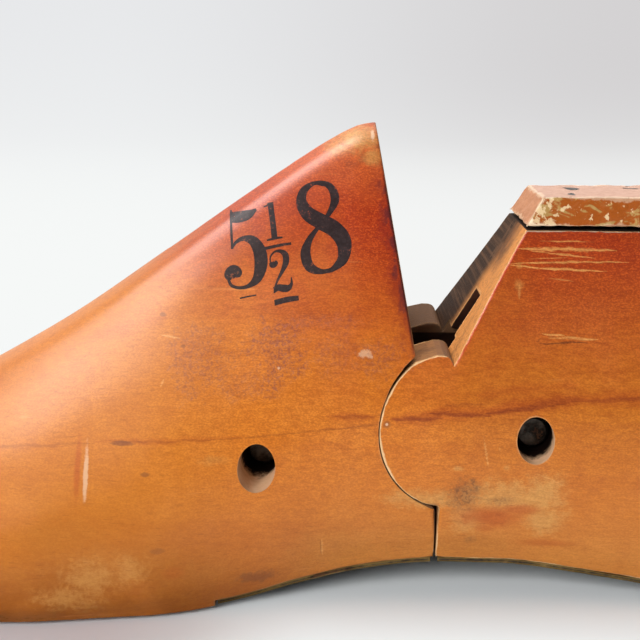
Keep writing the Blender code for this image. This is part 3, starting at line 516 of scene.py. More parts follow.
def loft(name, rings):
    """Joins rings of points into one closed skin."""
    bm = bmesh.new()
    rows = [[bm.verts.new(point) for point in ring] for ring in rings]
    count = len(rows[0])
    for front, back in zip(rows, rows[1:]):
        for i in range(count):
            j = (i + 1) % count
            bm.faces.new([front[i], front[j], back[j], back[i]])
    bm.faces.new(rows[0])
    bm.faces.new(rows[-1])
    bmesh.ops.remove_doubles(bm, verts=bm.verts, dist=1e-6)
    bmesh.ops.dissolve_degenerate(bm, edges=bm.edges, dist=1e-7)
    return object_from(name, bm)


def soft_shading(made, degrees):
    """Smooth shading, but for edges sharper than an angle."""
    made.data.shade_smooth()
    made.data.set_sharp_from_angle(angle=math.radians(degrees))


def settled(made):
    """Applies a piece's modifiers to its mesh."""
    shape = bpy.data.meshes.new_from_object(made.evaluated_get(bpy.context.evaluated_depsgraph_get()))
    made.modifiers.clear()
    made.data = shape


def triangles(made):
    """How many triangles a piece has."""
    return sum(len(face.vertices) - 2 for face in made.data.polygons)


def prism(name, outline, low_y, high_y):
    """Extrudes an outline of x and z points across the last."""
    bm = bmesh.new()
    face = bm.faces.new([bm.verts.new((x, low_y, z)) for x, z in outline])
    moved = bmesh.ops.extrude_face_region(bm, geom=[face])["geom"]
    corners = [item for item in moved if isinstance(item, bmesh.types.BMVert)]
    bmesh.ops.translate(bm, verts=corners, vec=(0, high_y - low_y, 0))
    return object_from(name, bm)


def upright_rod(name, centre, radius, low_z, high_z, sides=96):
    """A round rod along Z."""
    outline = [(centre[0] + radius * math.cos(2 * math.pi * i / sides),
                centre[1] + radius * math.sin(2 * math.pi * i / sides)) for i in range(sides)]
    bm = bmesh.new()
    rows = [[bm.verts.new((x, y, z)) for x, y in outline] for z in (low_z, high_z)]
    for i in range(sides):
        j = (i + 1) % sides
        bm.faces.new([rows[0][i], rows[0][j], rows[1][j], rows[1][i]])
    bm.faces.new(rows[0])
    bm.faces.new(rows[1])
    return object_from(name, bm)


def cross_rod(name, centre, radius, low_y, high_y, sides=96):
    """A round rod across the last."""
    outline = [(centre[0] + radius * math.cos(2 * math.pi * (i + 1 / 2) / sides),
                centre[1] + radius * math.sin(2 * math.pi * (i + 1 / 2) / sides)) for i in range(sides)]
    return prism(name, outline, low_y, high_y)


def cut(made, tools, operation="DIFFERENCE"):
    """Applies cutters, each with the finish that it leaves on the faces it makes, and removes them."""
    for tool, left in tools:
        if left:
            tool.data.materials.append(left)
        modifier = made.modifiers.new("cut", "BOOLEAN")
        modifier.solver = "EXACT"
        modifier.material_mode = "TRANSFER"
        modifier.operation = operation
        modifier.object = tool
    settled(made)
    for tool, _ in tools:
        bpy.data.objects.remove(tool, do_unlink=True)
    return made


# %% [markdown]
# The joint's outlines are read from the frame where they can be: the hinge's centre, the butt joint, the
# V's foot and the pins' places all come from the packed nodes and joints.

# %% The joint's outlines
GAP = 0.0003
ARC_GAP = 0.00014
CAP_GAP = 0.0004
OVERRUN = 0.005
TONGUE_RADIUS = 0.0149
SOCKET_RELIEF = 0.0007
BUTT_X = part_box("forepart_block")[1].x
BACK_FACE_SETBACK = 0.0084
BACK_FACE_LEAN = math.radians(10.1)
V_FACE_LEAN = math.radians(30.8)
NOTCH = (hinge.x - 0.0015, hinge.z + 0.0117)
LIP_LENGTH, LIP_RISE = 0.003, 0.0018
LIP_SHARES = [(0.07, 0.38), (0.19, 0.68), (0.35, 0.88), (0.58, 0.98), (1.0, 0.98)]
PIN_RADIUS = 0.0031
HOLE_MOUTH = (0.00335, 0.0043)
MOUTH_LINE = NOTCH[1] - 0.0002
ARC_STEPS = 72
front_pin = (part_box("front_pin")[0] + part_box("front_pin")[1]) / 2
rear_pin = (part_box("rear_pin")[0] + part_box("rear_pin")[1]) / 2
cap_low, cap_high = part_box("top_cap")
TOP_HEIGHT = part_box("heel_block")[1].z
CEILING = PEAK_HEIGHT + 0.0103
WIDE = BALL_HALF_WIDTH + OVERRUN


def arc_to_butt(radius, start_angle, butt_x, relief=0):
    """The tongue's round line from its upper end down to the straight butt joint."""
    end_angle = 2 * math.pi - math.acos((butt_x - hinge.x) / radius)
    points = []
    for i in range(ARC_STEPS + 1):
        share = i / ARC_STEPS
        reach = radius + relief * max(1 - share * 4, 0)
        angle = start_angle + (end_angle - start_angle) * share
        points.append((hinge.x + reach * math.cos(angle), hinge.z + reach * math.sin(angle)))
    return points


def back_face_x(height):
    """Where the forepart's sawn back face stands."""
    return hinge.x - BACK_FACE_SETBACK - (height - NOTCH[1] - LIP_RISE) * math.tan(BACK_FACE_LEAN)


def v_face_x(height):
    """Where the heel part's sawn V face stands."""
    return NOTCH[0] + (height - NOTCH[1]) * math.tan(V_FACE_LEAN)


def forepart_cutter():
    """Everything behind the forepart."""
    foot = (back_face_x(NOTCH[1] + LIP_RISE), NOTCH[1] + LIP_RISE)
    start = math.atan2(foot[1] - hinge.z, foot[0] - hinge.x)
    socket = arc_to_butt(TONGUE_RADIUS + ARC_GAP, start, BUTT_X, SOCKET_RELIEF)
    outline = [(back_face_x(CEILING), CEILING), foot] + socket[1:]
    outline += [(BUTT_X, -OVERRUN), (LAST_LENGTH / 2, -OVERRUN), (LAST_LENGTH / 2, CEILING)]
    return prism("forepart_cutter", outline, -WIDE, WIDE)


def heel_cutter():
    """Everything before the heel part."""
    lip = [(NOTCH[0] - LIP_LENGTH * along, NOTCH[1] + LIP_RISE * up) for along, up in LIP_SHARES]
    start = math.acos(-BACK_FACE_SETBACK / TONGUE_RADIUS)
    tongue = arc_to_butt(TONGUE_RADIUS, start, BUTT_X + GAP)
    outline = [(v_face_x(CEILING), CEILING), NOTCH] + lip + tongue
    outline += [(BUTT_X + GAP, -OVERRUN), (-LAST_LENGTH / 2, -OVERRUN), (-LAST_LENGTH / 2, CEILING)]
    return prism("heel_cutter", outline, -WIDE, WIDE)


print("butt joint at x mm:", round(BUTT_X * 1000, 2), "top of the heel part:", round(TOP_HEIGHT * 1000, 2))

# %% The mortises and the plates' seats
MORTISE = (-0.0025 - 0.0127 / 2, -0.0025 + 0.0127 / 2)
SLOT = (-0.0038 - 0.0064 / 2, -0.0038 + 0.0064 / 2)
SLOT_RADIUS = 0.022
STRAP_ROOM = 0.0116 / 2 + 0.0013
PLATE_THICKNESS = 0.001
PLATE_INSET = 0.0006
link_line = math.atan2(rear_pin.z - front_pin.z, rear_pin.x - front_pin.x)


def forepart_mortise():
    """A slot from the socket forward past the front pin."""
    front, low = front_pin.x - STRAP_ROOM, front_pin.z - STRAP_ROOM
    outline = [(front, low), (hinge.x, low), (hinge.x, hinge.z + 0.0095), (front, front_pin.z + STRAP_ROOM)]
    return prism("forepart_mortise", outline, *MORTISE)


def heel_mortise():
    """A slot open over the tongue, which runs back past the spring's end."""
    front = hinge.x - TONGUE_RADIUS - OVERRUN
    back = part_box("link_strap")[1].x + 0.0016
    floor_z = front_pin.z + (front - front_pin.x) * math.tan(link_line) - STRAP_ROOM
    low, high = rear_pin.z - 0.0123, rear_pin.z + 0.0098
    mouth = NOTCH[1] + LIP_RISE
    outline = [(front, floor_z), (rear_pin.x - STRAP_ROOM, floor_z), (rear_pin.x, low), (back, low),
               (back, high), (v_face_x(mouth) + GAP, mouth), (front, CEILING)]
    return prism("heel_mortise", outline, *MORTISE)


def saw_slot():
    """A narrower slot above the mortise, round like the saw that cut it."""
    angles = [math.radians(99 - 79 * i / 40) for i in range(41)]
    arc = [(hinge.x + SLOT_RADIUS * math.cos(a), hinge.z + SLOT_RADIUS * math.sin(a)) for a in angles]
    outline = [(hinge.x, hinge.z + PIN_RADIUS), (hinge.x, NOTCH[1])] + arc
    return prism("saw_slot", outline, *SLOT)


def pin_hole(pin, aside, up):
    """A cross pin's hole, round at the pin and worn to an upright oval at its mouth on the inner side."""
    angles = [2 * math.pi * (i + 1 / 2) / 96 for i in range(96)]
    wear_inwards = [(-WIDE, 1.0), (-0.0238, 1.0), (-0.0222, 0.86), (-0.0204, 0.45), (-0.019, 0.0),
                    (WIDE, 0.0)]
    rings = []
    for y, worn in wear_inwards:
        wide = PIN_RADIUS + GAP + (HOLE_MOUTH[0] - PIN_RADIUS - GAP) * worn
        tall = PIN_RADIUS + GAP + (HOLE_MOUTH[1] - PIN_RADIUS - GAP) * worn
        rings.append([(pin.x + aside * worn + wide * math.cos(a), y, pin.z + up * worn + tall * math.sin(a))
                      for a in angles])
    return loft("hole", rings)


def plate_ring(share, low_lift, high_lift, skirt):
    """A slab's cross section over the sole, with a skirt past its edges where it cuts a seat."""
    across = np.linspace(-1, 1, BOTTOM_STEPS + 1)
    rows = []
    for lift in (low_lift, high_lift):
        row = sole_points(share, across, lift)
        row[:, 1] -= PLATE_INSET * across
        if skirt:
            row = np.vstack([row[0] - (0, skirt, 0), row, row[-1] + (0, skirt, 0)])
        rows.append(row)
    return np.vstack([rows[0], rows[1][::-1]])


def plate_shares(name, steps):
    """Stations of a plate between its packed ends, crowded towards the heel's round end."""
    low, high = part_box(name)
    first = share_at(low.x)
    if name == "heel_sole_plate":
        last = 1 - PLATE_INSET / LAST_LENGTH
        return [last - (last - first) * (1 - i / steps) ** 1.5 for i in range(steps + 1)]
    return [first + (share_at(high.x) - first) * i / steps for i in range(steps + 1)]


def plate_seat(name, before, after):
    """The tool that lets a plate into the sole."""
    rings = [plate_ring(share, -OVERRUN, PLATE_THICKNESS + GAP, OVERRUN) for share in plate_shares(name, 40)]
    return loft("seat", [rings[0] - (before, 0, 0)] + rings + [rings[-1] + (after, 0, 0)])


# %% [markdown]
# Old wood has no sharp edges. After the cuts, the mesh is made finer next to every sharp edge, and the
# points there are drawn in along the edge's own direction, further where a slow noise says that the edge
# is worn. The distance to the edge is kept on the points, and the finish uses it to bare the wood there.
# On wood only the edges between the shellac and a sawn face count, so the ridge keeps its finish.

# %% Worn edges
def point_reading(mesh):
    """The points of a mesh as an array."""
    points = np.empty(len(mesh.vertices) * 3)
    mesh.vertices.foreach_get("co", points)
    return points.reshape(-1, 3)


def sharp_samples(bm, least_angle, step):
    """Points along the outward sharp edges: place, direction out, angle, ends, and if it can be bare."""
    places, outs, angles, ends, cuts = [], [], [], [], []
    mixed = len({face.material_index for face in bm.faces}) > 1
    for edge in bm.edges:
        if len(edge.link_faces) != 2 or not edge.is_convex:
            continue
        angle = edge.calc_face_angle(0)
        if angle < least_angle:
            continue
        one, two = (face.material_index for face in edge.link_faces)
        out = (edge.link_faces[0].normal + edge.link_faces[1].normal).normalized()
        a, b = edge.verts[0].co.copy(), edge.verts[1].co.copy()
        count = max(int((b - a).length / step), 1)
        for i in range(count + 1):
            places.append(a.lerp(b, i / count))
            outs.append(out)
            angles.append(angle)
            ends.append((a, b))
            cuts.append(one != two or not mixed)
    return places, outs, angles, ends, cuts


def tree_of(places):
    """A search tree of points."""
    tree = KDTree(len(places))
    for i, place in enumerate(places):
        tree.insert(place, i)
    tree.balance()
    return tree


def unfold(bm):
    """Takes out what cutting leaves: needles without width, and faces folded flat on each other."""
    bmesh.ops.dissolve_degenerate(bm, dist=2e-7, edges=bm.edges[:])
    bmesh.ops.triangulate(bm, faces=[face for face in bm.faces if len(face.verts) > 3])
    same_corners = {}
    for face in bm.faces:
        same_corners.setdefault(frozenset(face.verts), []).append(face)
    folded = []
    for faces in same_corners.values():
        if len(faces) > 1:
            in_the_skin = all(len(edge.link_faces) % 2 for edge in faces[0].edges)
            folded += faces[:1] if in_the_skin else faces[:2]
    bmesh.ops.delete(bm, geom=folded, context="FACES")
    gaps = [edge for edge in bm.edges if len(edge.link_faces) == 1]
    if gaps:
        bmesh.ops.holes_fill(bm, edges=gaps, sides=8)
        bmesh.ops.triangulate(bm, faces=[face for face in bm.faces if len(face.verts) > 3])


def wear_edges(made, radius, finest=0.00026, growth=0.55, least_angle=math.radians(32), reach=0.0022,
               extra=None):
    """Refines the mesh towards its sharp edges and rounds them by a varying radius, with extra in places."""
    bm = bmesh.new()
    bm.from_mesh(made.data)
    bmesh.ops.remove_doubles(bm, verts=bm.verts, dist=5e-7)
    bmesh.ops.triangulate(bm, faces=bm.faces[:])
    unfold(bm)
    bm.normal_update()
    places, outs, angles, ends, cuts = sharp_samples(bm, least_angle, 0.00012)
    tree = tree_of(places)
    bare_tree = tree_of([place for place, bare in zip(places, cuts) if bare])
    known = {}

    def distance(vertex):
        if vertex not in known:
            known[vertex] = tree.find(vertex.co)[2]
        return known[vertex]

    for _ in range(9):
        long_edges = [edge for edge in bm.edges
                      if edge.calc_length() > finest + growth * min(distance(v) for v in edge.verts)
                      and min(distance(v) for v in edge.verts) < reach]
        if not long_edges:
            break
        bmesh.ops.subdivide_edges(bm, edges=long_edges, cuts=1, use_grid_fill=False)
        bmesh.ops.triangulate(bm, faces=[face for face in bm.faces if len(face.verts) > 3])
        unfold(bm)
        bm.verts.ensure_lookup_table()
        known.clear()
    layer = bm.verts.layers.float.new("edge_distance")
    shifts = []
    for vertex in bm.verts:
        _, index, near = tree.find(vertex.co)
        if near < 0.006:
            a, b = ends[index]
            run = b - a
            share = min(max((vertex.co - a).dot(run) / max(run.length_squared, 1e-18), 0), 1)
            near = (vertex.co - a - run * share).length
        vertex[layer] = near if cuts[index] else max(bare_tree.find(vertex.co)[2] - 0.00004, 0)
        local = radius * (0.75 + 0.55 * noise.noise(vertex.co * 120) + 0.35 * noise.noise(vertex.co * 420))
        local = max(local, radius * 0.3) + (extra(vertex.co) if extra else 0)
        if near < local:
            depth = local * math.tan(angles[index] / 4) * (1 - near / local) ** 2
            shifts.append((vertex, outs[index] * -depth))
    for vertex, shift in shifts:
        vertex.co += shift
    bm.to_mesh(made.data)
    bm.free()
    soft_shading(made, 48)
    return made


def knocked(co):
    """Extra wear where the two halves knock together, and less at the pins' holes."""
    for pin in (front_pin, rear_pin):
        if math.hypot(co.x - pin.x, co.z - pin.z) < 0.0056:
            return -0.0004
    if co.z > 0.0215 and abs(math.hypot(co.x - hinge.x, co.z - hinge.z) - TONGUE_RADIUS) < 0.0006:
        return -0.00018
    if co.y > -0.008:
        return 0
    beside = max(0, 1 - abs(co.x - BUTT_X) / 0.0024)
    head = max(0, 1 - abs(co.z - 0.02) / 0.0075)
    foot = max(0, 1 - abs(co.z - 0.0075) / 0.0022)
    return (0.0013 * head ** 1.3 + 0.001 * foot) * beside


WOOD_WEAR = dict(radius=0.00045, finest=0.0004, growth=0.8, extra=knocked)


def keep_inside(made, node):
    """Holds every point within the packed node's box."""
    low, high = (np.array(corner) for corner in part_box(node))
    points = np.clip(point_reading(made.data), low, high)
    made.data.vertices.foreach_set("co", points.ravel())
    made.data.update()
    return made

# %% [markdown]
# Finishes
#
# Every finish works in the piece's own coordinates, so the pattern stays in the wood when the last bends.
# Effects that several finishes share are node groups: the figure of the maple, a soft-edged stain, a
# scratch, the wear at an edge, and tarnish on iron and steel.
#
# Maple is a quiet wood. Close up it shows fine lines along the grain, a slow banding, a cloudy figure and
# short dark flecks. Each is noise in the block's own space, stretched along the last by its own amount,
# so the lines run on round the block and turn to speckle where a saw cut crosses them. Both halves of a
# last are sawn from one block, so they share one space and the grain runs on across the joint.

# %% The figure of the maple
def maple_figure():
    wires, _, out = shared_effect(
        "maple_figure", [], [("Lines", "Float"), ("Bands", "Float"), ("Cloud", "Float"), ("Specks", "Float"),
                             ("Flecks", "Float"), ("Pits", "Float")])
    point = wires.place()
    bend = wires.minus(wires.noise(point, 16, 1.0), 0.5)
    shift = wires.add("ShaderNodeCombineXYZ", {"Z": wires.times(bend, 0.012)}).outputs[0]
    grain = wires.vector("ADD", point, shift)
    wires.join(wires.noise(wires.stretched(grain, (420, 1000, 1700)), 1, 4.0, 0.62), out["Lines"])
    wires.join(wires.noise(wires.stretched(grain, (9, 90, 240)), 1, 2.0), out["Bands"])
    wires.join(wires.noise(wires.stretched(point, (80, 70, 38)), 1, 3.0, 0.55, 0.6), out["Cloud"])
    wires.join(wires.noise(wires.stretched(grain, (2500, 3000, 4200)), 1, 2.0, 0.6), out["Specks"])
    flecks = wires.noise(wires.stretched(grain, (420, 1100, 2600)), 1, 2.0)
    wires.join(wires.ramp(flecks, 0.6, 0.72), out["Flecks"])
    wires.join(wires.noise(point, 1400, 3.0, 0.6), out["Pits"])
    return wires.tree


# %% [markdown]
# A stain is a soft blot and a scratch is a thin line. Both are drawn by their distance from a place on
# the side of the last, seen square on, and a noise that comes from outside makes their rims ragged. They
# lie on the inner side only, the one with less than zero across.

# %% Stains, scratches and worn edges
def stain():
    wires, given, out = shared_effect(
        "stain", [("Centre", "Vector", (0, 0, 0)), ("Radius", "Vector", (0.01, 1, 0.01)),
                  ("Softness", "Float", 0.4), ("Ragged", "Float", 0.0)], [("Mask", "Float")])
    point = wires.place()
    away = wires.vector("DIVIDE", wires.vector("SUBTRACT", point, given["Centre"]), given["Radius"])
    length = wires.vector("LENGTH", wires.vector("MULTIPLY", away, (1, 0, 1)))
    rim = wires.plus(length, given["Ragged"])
    outer = wires.plus(1.0, given["Softness"])
    inner = wires.minus(1.0, given["Softness"])
    near = wires.ramp(wires.parts(point)["Y"], 0.002, -0.001)
    wires.join(wires.times(wires.ramp(rim, outer, inner), near), out["Mask"])
    return wires.tree


def scratch():
    wires, given, out = shared_effect(
        "scratch", [("Start", "Vector", (0, 0, 0)), ("End", "Vector", (0, 0, 0)), ("Width", "Float", 0.0003),
                    ("Wander", "Float", 0.0), ("Ragged", "Float", 0.0)], [("Mask", "Float")])
    point = wires.place()
    run = wires.vector("SUBTRACT", given["End"], given["Start"])
    from_start = wires.vector("MULTIPLY", wires.vector("SUBTRACT", point, given["Start"]), (1, 0, 1))
    share = wires.math("DIVIDE", wires.vector("DOT_PRODUCT", from_start, run),
                       wires.vector("DOT_PRODUCT", run, run))
    share = wires.highest(wires.math("MINIMUM", share, 1.0), 0.0)
    beside = wires.vector("SUBTRACT", from_start, wires.vector("SCALE", run, scale=share))
    shift = wires.add("ShaderNodeCombineXYZ", {"Z": given["Wander"]}).outputs[0]
    away = wires.vector("LENGTH", wires.vector("ADD", beside, shift))
    taper = wires.times(wires.times(share, wires.minus(1.0, share)), 4.0)
    width = wires.times(given["Width"], wires.times_plus(taper, 0.85, 0.15))
    rim = wires.plus(wires.math("DIVIDE", away, width), given["Ragged"])
    near = wires.ramp(wires.parts(point)["Y"], 0.002, -0.001)
    wires.join(wires.times(wires.ramp(rim, 1.1, 0.0), near), out["Mask"])
    return wires.tree


def worn_edge():
    wires, given, out = shared_effect(
        "worn_edge", [("Width", "Float", 0.0008), ("Raggedness", "Float", 0.0016)], [("Mask", "Float")])
    distance = wires.add("ShaderNodeAttribute", attribute_name="edge_distance").outputs["Fac"]
    coarse = wires.minus(wires.noise(wires.place(), 150, 2.0), 0.5)
    fine = wires.minus(wires.noise(wires.place(), 900, 3.0, 0.6), 0.5)
    both = wires.times_plus(fine, 0.6, coarse)
    rim = wires.times_plus(both, given["Raggedness"], distance)
    inner = wires.times(given["Width"], 0.35)
    wires.join(wires.ramp(rim, given["Width"], inner), out["Mask"])
    return wires.tree


figure, blot, line, edge = maple_figure(), stain(), scratch(), worn_edge()
print("shared effects:", [tree.name for tree in (figure, blot, line, edge)])

# %% [markdown]
# Use has left its marks on the side: stains, knots, a dark streak along the grain, scratches and chips.
# The larger ones are placed one by one. A row of a stain gives its centre in millimetres, along and up,
# its reach both ways, how strong it is and how ragged. A row of a line gives its two ends, its width and
# how strong it is.

# %% Marks of use on the inner side
RESIDUE = [
    (-21.5, 46.8, 5.6, 5.2, 0.4, 2.4), (-7.6, 48.6, 4.6, 5.6, 0.55, 2.2), (3.0, 47.5, 3.6, 3.6, 0.3, 2.6),
    (-12.5, 43.0, 6.5, 2.4, 0.3, 2.6), (10.0, 47.0, 6.5, 3.2, 0.36, 2.6), (-2.0, 53.0, 8.0, 1.2, 0.34, 2.4)]
DARK_STAINS = [
    (-11.3, 7.2, 3.2, 1.4, 0.45, 1.6), (-34.9, 33.4, 1.9, 0.36, 0.6, 0.9), (13.1, 60.9, 0.3, 0.3, 0.9, 0.2),
    (-30.6, 28.5, 0.7, 0.35, 0.5, 1.0), (-29.0, 53.6, 0.6, 0.35, 0.5, 1.4),
    (-24.9, 48.7, 0.5, 0.3, 0.5, 1.0), (-28.5, 15.2, 1.2, 0.5, 0.3, 1.2),
    (11.9, 35.6, 0.75, 0.7, 0.45, 0.6), (5.4, 80.0, 1.3, 0.8, 0.22, 1.6), (7.5, 81.0, 0.7, 1.0, 0.28, 1.6)]
KNOTS = [
    (26.0, 22.9, 2.6, 2.9, 0.85, 1.8), (27.6, 24.8, 0.7, 0.8, 0.85, 1.0), (24.5, 22.0, 0.5, 1.8, 0.7, 1.2),
    (32.6, 21.2, 2.0, 0.7, 0.6, 1.8), (27.6, 12.7, 0.9, 0.6, 0.5, 1.4)]
RED_STAINS = [
    (-42.6, 29.0, 0.5, 4.5, 0.7, 0.8), (3.0, 55.0, 9.0, 4.0, 0.2, 1.4), (31.0, 17.9, 5.0, 1.8, 0.75, 1.4),
    (36.0, 19.3, 3.2, 0.9, 0.7, 1.4), (41.5, 12.4, 5.0, 0.7, 0.5, 1.2), (30.0, 15.4, 1.6, 0.7, 0.5, 1.0),
    (-26.0, 10.5, 1.6, 1.2, 0.3, 1.2)]
PALE_STAINS = [
    (19.5, 21.6, 6.0, 1.5, 0.55, 1.6), (33.5, 21.8, 8.0, 2.6, 0.55, 1.8), (40.5, 22.5, 3.4, 3.0, 0.6, 1.6),
    (27.0, 17.5, 2.6, 2.6, 0.5, 1.6), (41.0, 17.5, 3.0, 2.4, 0.55, 1.6), (-18.8, 30.4, 2.2, 0.6, 0.3, 1.6),
    (36.1, 58.9, 0.7, 0.8, 0.35, 1.2), (24.9, 27.4, 1.0, 0.4, 0.55, 1.4), (33.6, 27.6, 0.5, 0.4, 0.4, 1.0),
    (36.3, 62.2, 0.5, 0.4, 0.4, 1.0), (7.0, 84.4, 4.5, 2.0, 0.75, 1.4), (9.5, 81.5, 1.8, 1.6, 0.6, 1.6),
    (3.0, 83.0, 2.4, 1.2, 0.5, 1.4), (-40.0, 10.5, 3.6, 2.6, 0.28, 2.6), (-33.5, 12.0, 2.6, 2.0, 0.24, 2.6),
    (-44.0, 6.5, 4.0, 2.2, 0.28, 2.6)]
OLIVE_STAINS = [
    (-38.0, 12.0, 9.0, 5.0, 0.35, 1.8), (-24.0, 8.0, 8.0, 3.6, 0.28, 1.8),
    (-46.0, 18.0, 6.0, 4.0, 0.3, 1.8), (2.0, 12.5, 7.0, 3.0, 0.35, 1.8), (27.0, 11.5, 9.0, 3.0, 0.35, 2.0),
    (16.0, 12.0, 5.0, 4.0, 0.3, 1.8)]
CHIPS = [
    (11.9, 35.6, 0.26, 0.26, 0.7, 0.4), (9.4, 85.2, 0.36, 0.8, 0.7, 1.6), (7.6, 47.8, 1.5, 0.6, 0.45, 2.4),
    (-7.5, 45.4, 0.2, 0.2, 0.6, 1.0), (-41.1, 28.4, 0.4, 4.2, 0.55, 1.1)]
# The halos round the streak; the first row is painted shade, a darker band along the foot of the gleam.
HALOS_AND_SHADE_BAND = [
    (-44.0, 48.8, -28.5, 53.2, 1.9, 0.22), (1.0, 37.2, 10.0, 37.0, 1.2, 0.4),
    (12.6, 36.4, 24.0, 36.8, 1.7, 0.45), (18.0, 37.4, 32.0, 37.6, 1.9, 0.5),
    (28.5, 37.8, 48.0, 40.2, 2.4, 0.5), (44.0, 39.8, 70.0, 41.4, 2.2, 0.4),
    (-40.0, 33.5, -14.0, 34.1, 0.9, 0.25), (28.0, 40.5, 46.0, 42.5, 1.8, 0.25)]
STREAK = [
    (-37.4, 33.6, -17.0, 33.9, 0.34, 0.4), (-19.0, 33.7, -2.0, 34.6, 0.32, 0.4),
    (-4.0, 34.7, 6.0, 35.2, 0.3, 0.35), (2.0, 37.3, 9.6, 37.0, 0.5, 0.45),
    (4.0, 35.2, 10.2, 35.6, 0.4, 0.55), (12.8, 36.5, 22.0, 36.5, 0.62, 0.75),
    (19.0, 37.5, 30.6, 37.0, 0.7, 0.75), (22.0, 38.9, 30.0, 39.0, 0.5, 0.35),
    (28.5, 37.3, 44.0, 39.2, 0.62, 0.75), (36.0, 38.6, 47.0, 40.2, 0.95, 0.5),
    (44.0, 39.6, 66.0, 41.0, 0.7, 0.6), (60.0, 41.0, 84.0, 41.6, 0.5, 0.5),
    (-62.0, 31.5, -40.0, 33.3, 0.45, 0.35)]
SCRATCHES = [
    (-29.2, 50.4, -25.4, 49.9, 0.26, 0.75), (-28.6, 42.2, -28.0, 43.6, 0.3, 0.7),
    (0.3, 14.1, 0.4, 10.3, 0.3, 0.5), (29.3, 33.4, 30.3, 27.6, 0.32, 0.6),
    (32.2, 31.6, 32.3, 30.5, 0.2, 0.4), (38.9, 26.6, 44.6, 24.2, 0.24, 0.4),
    (35.2, 65.2, 54.0, 65.1, 0.46, 0.85), (38.0, 64.9, 48.0, 63.9, 0.2, 0.7),
    (40.0, 66.6, 50.0, 66.5, 0.18, 0.7), (33.4, 62.6, 56.0, 63.2, 0.24, 0.9),
    (34.0, 62.5, 43.0, 61.5, 0.22, 0.85), (38.0, 61.9, 52.0, 61.5, 0.28, 0.9),
    (43.0, 64.2, 50.0, 63.7, 0.2, 0.7), (37.6, 63.4, 45.0, 63.7, 0.14, 0.6),
    (41.4, 60.2, 46.0, 59.7, 0.14, 0.5), (39.9, 50.9, 44.0, 50.6, 0.28, 0.8),
    (41.0, 50.3, 50.0, 50.1, 0.3, 0.8), (36.2, 59.0, 36.1, 56.6, 0.4, 0.45),
    (66.0, 30.0, 74.0, 33.0, 0.3, 0.6), (80.0, 45.0, 82.5, 38.0, 0.3, 0.5),
    (-88.0, 14.0, -80.0, 16.0, 0.3, 0.5)]
CRACKS = [
    (39.2, 49.3, 48.0, 49.6, 0.26, 0.75), (0.05, 14.1, 0.15, 10.6, 0.18, 0.4),
    (39.0, 49.5, 39.7, 50.1, 0.22, 0.5)]
print("stains:",
      sum(len(rows) for rows in (RESIDUE, DARK_STAINS, KNOTS, RED_STAINS, PALE_STAINS, OLIVE_STAINS,
                                 CHIPS)))
print("lines:", sum(len(rows) for rows in (HALOS_AND_SHADE_BAND, STREAK, SCRATCHES, CRACKS)))

# %% [markdown]
# Shellac goes from gold on the ball of the foot to a hot red-orange at the top of the V, where it lay
# thickest. Over its tones lie painted shade at the toe and low on the toe side, and a painted light bounced
# from the floor low towards the joint. Its colour is built up in the order of the last's life: the shellac,
# the marks of use, the figure of the wood that shows through them, dirt at the sawn edge, and bare wood
# where it is rubbed. A painter reads once what all these steps need, and lays a whole table of marks over a
# colour. It keeps the deepest mark at each point, so that rows which overlap don't darken twice.

# %% A painter of marks
class Painter:
    """Readings at each point of the wood, and a way to lay tables of marks over a colour."""

    def __init__(self, wires):
        self.wires = wires
        self.point = wires.place()
        self.x, _, self.z = wires.parts(self.point)
        self.grain = wires.use(figure)
        fine = wires.minus(wires.noise(self.point, 1100, 3.0, 0.65), 0.5)
        coarse = wires.minus(wires.noise(self.point, 260, 3.0, 0.6), 0.5)
        self.both = wires.plus(fine, coarse)
        self.waves = wires.minus(wires.noise(wires.stretched(self.point, (300, 1, 160)), 1, 2.0), 0.5)
        self.threads = wires.minus(wires.noise(wires.stretched(self.point, (600, 300, 3600)), 1, 3.0, 0.65),
                                   0.5)

    def stained(self, colour, rows, tint, softness=0.35, share=1.0):
        """Soft blots of one tint."""
        wires, deepest = self.wires, 0.0
        for along, up, wide, tall, strength, rough in rows:
            mask = wires.use(blot, centre=(along / 1000, 0, up / 1000),
                             radius=(wide / 1000, 1, tall / 1000), softness=softness,
                             ragged=wires.times(self.both, rough))["Mask"]
            deepest = wires.highest(wires.times(mask, strength), deepest)
        return wires.mix(wires.times(deepest, share), colour, tint)

    def scratched(self, colour, rows, tint, rough, wander):
        """Thin lines of one tint."""
        wires, deepest = self.wires, 0.0
        for x1, z1, x2, z2, width, strength in rows:
            mask = wires.use(line, start=(x1 / 1000, 0, z1 / 1000), end=(x2 / 1000, 0, z2 / 1000),
                             width=width / 1000, wander=wires.times(self.waves, wander),
                             ragged=wires.times(self.threads, rough))["Mask"]
            deepest = wires.highest(wires.times(mask, strength), deepest)
        return wires.mix(deepest, colour, tint)


print("a painter has:", [name for name in vars(Painter) if not name.startswith("_")])

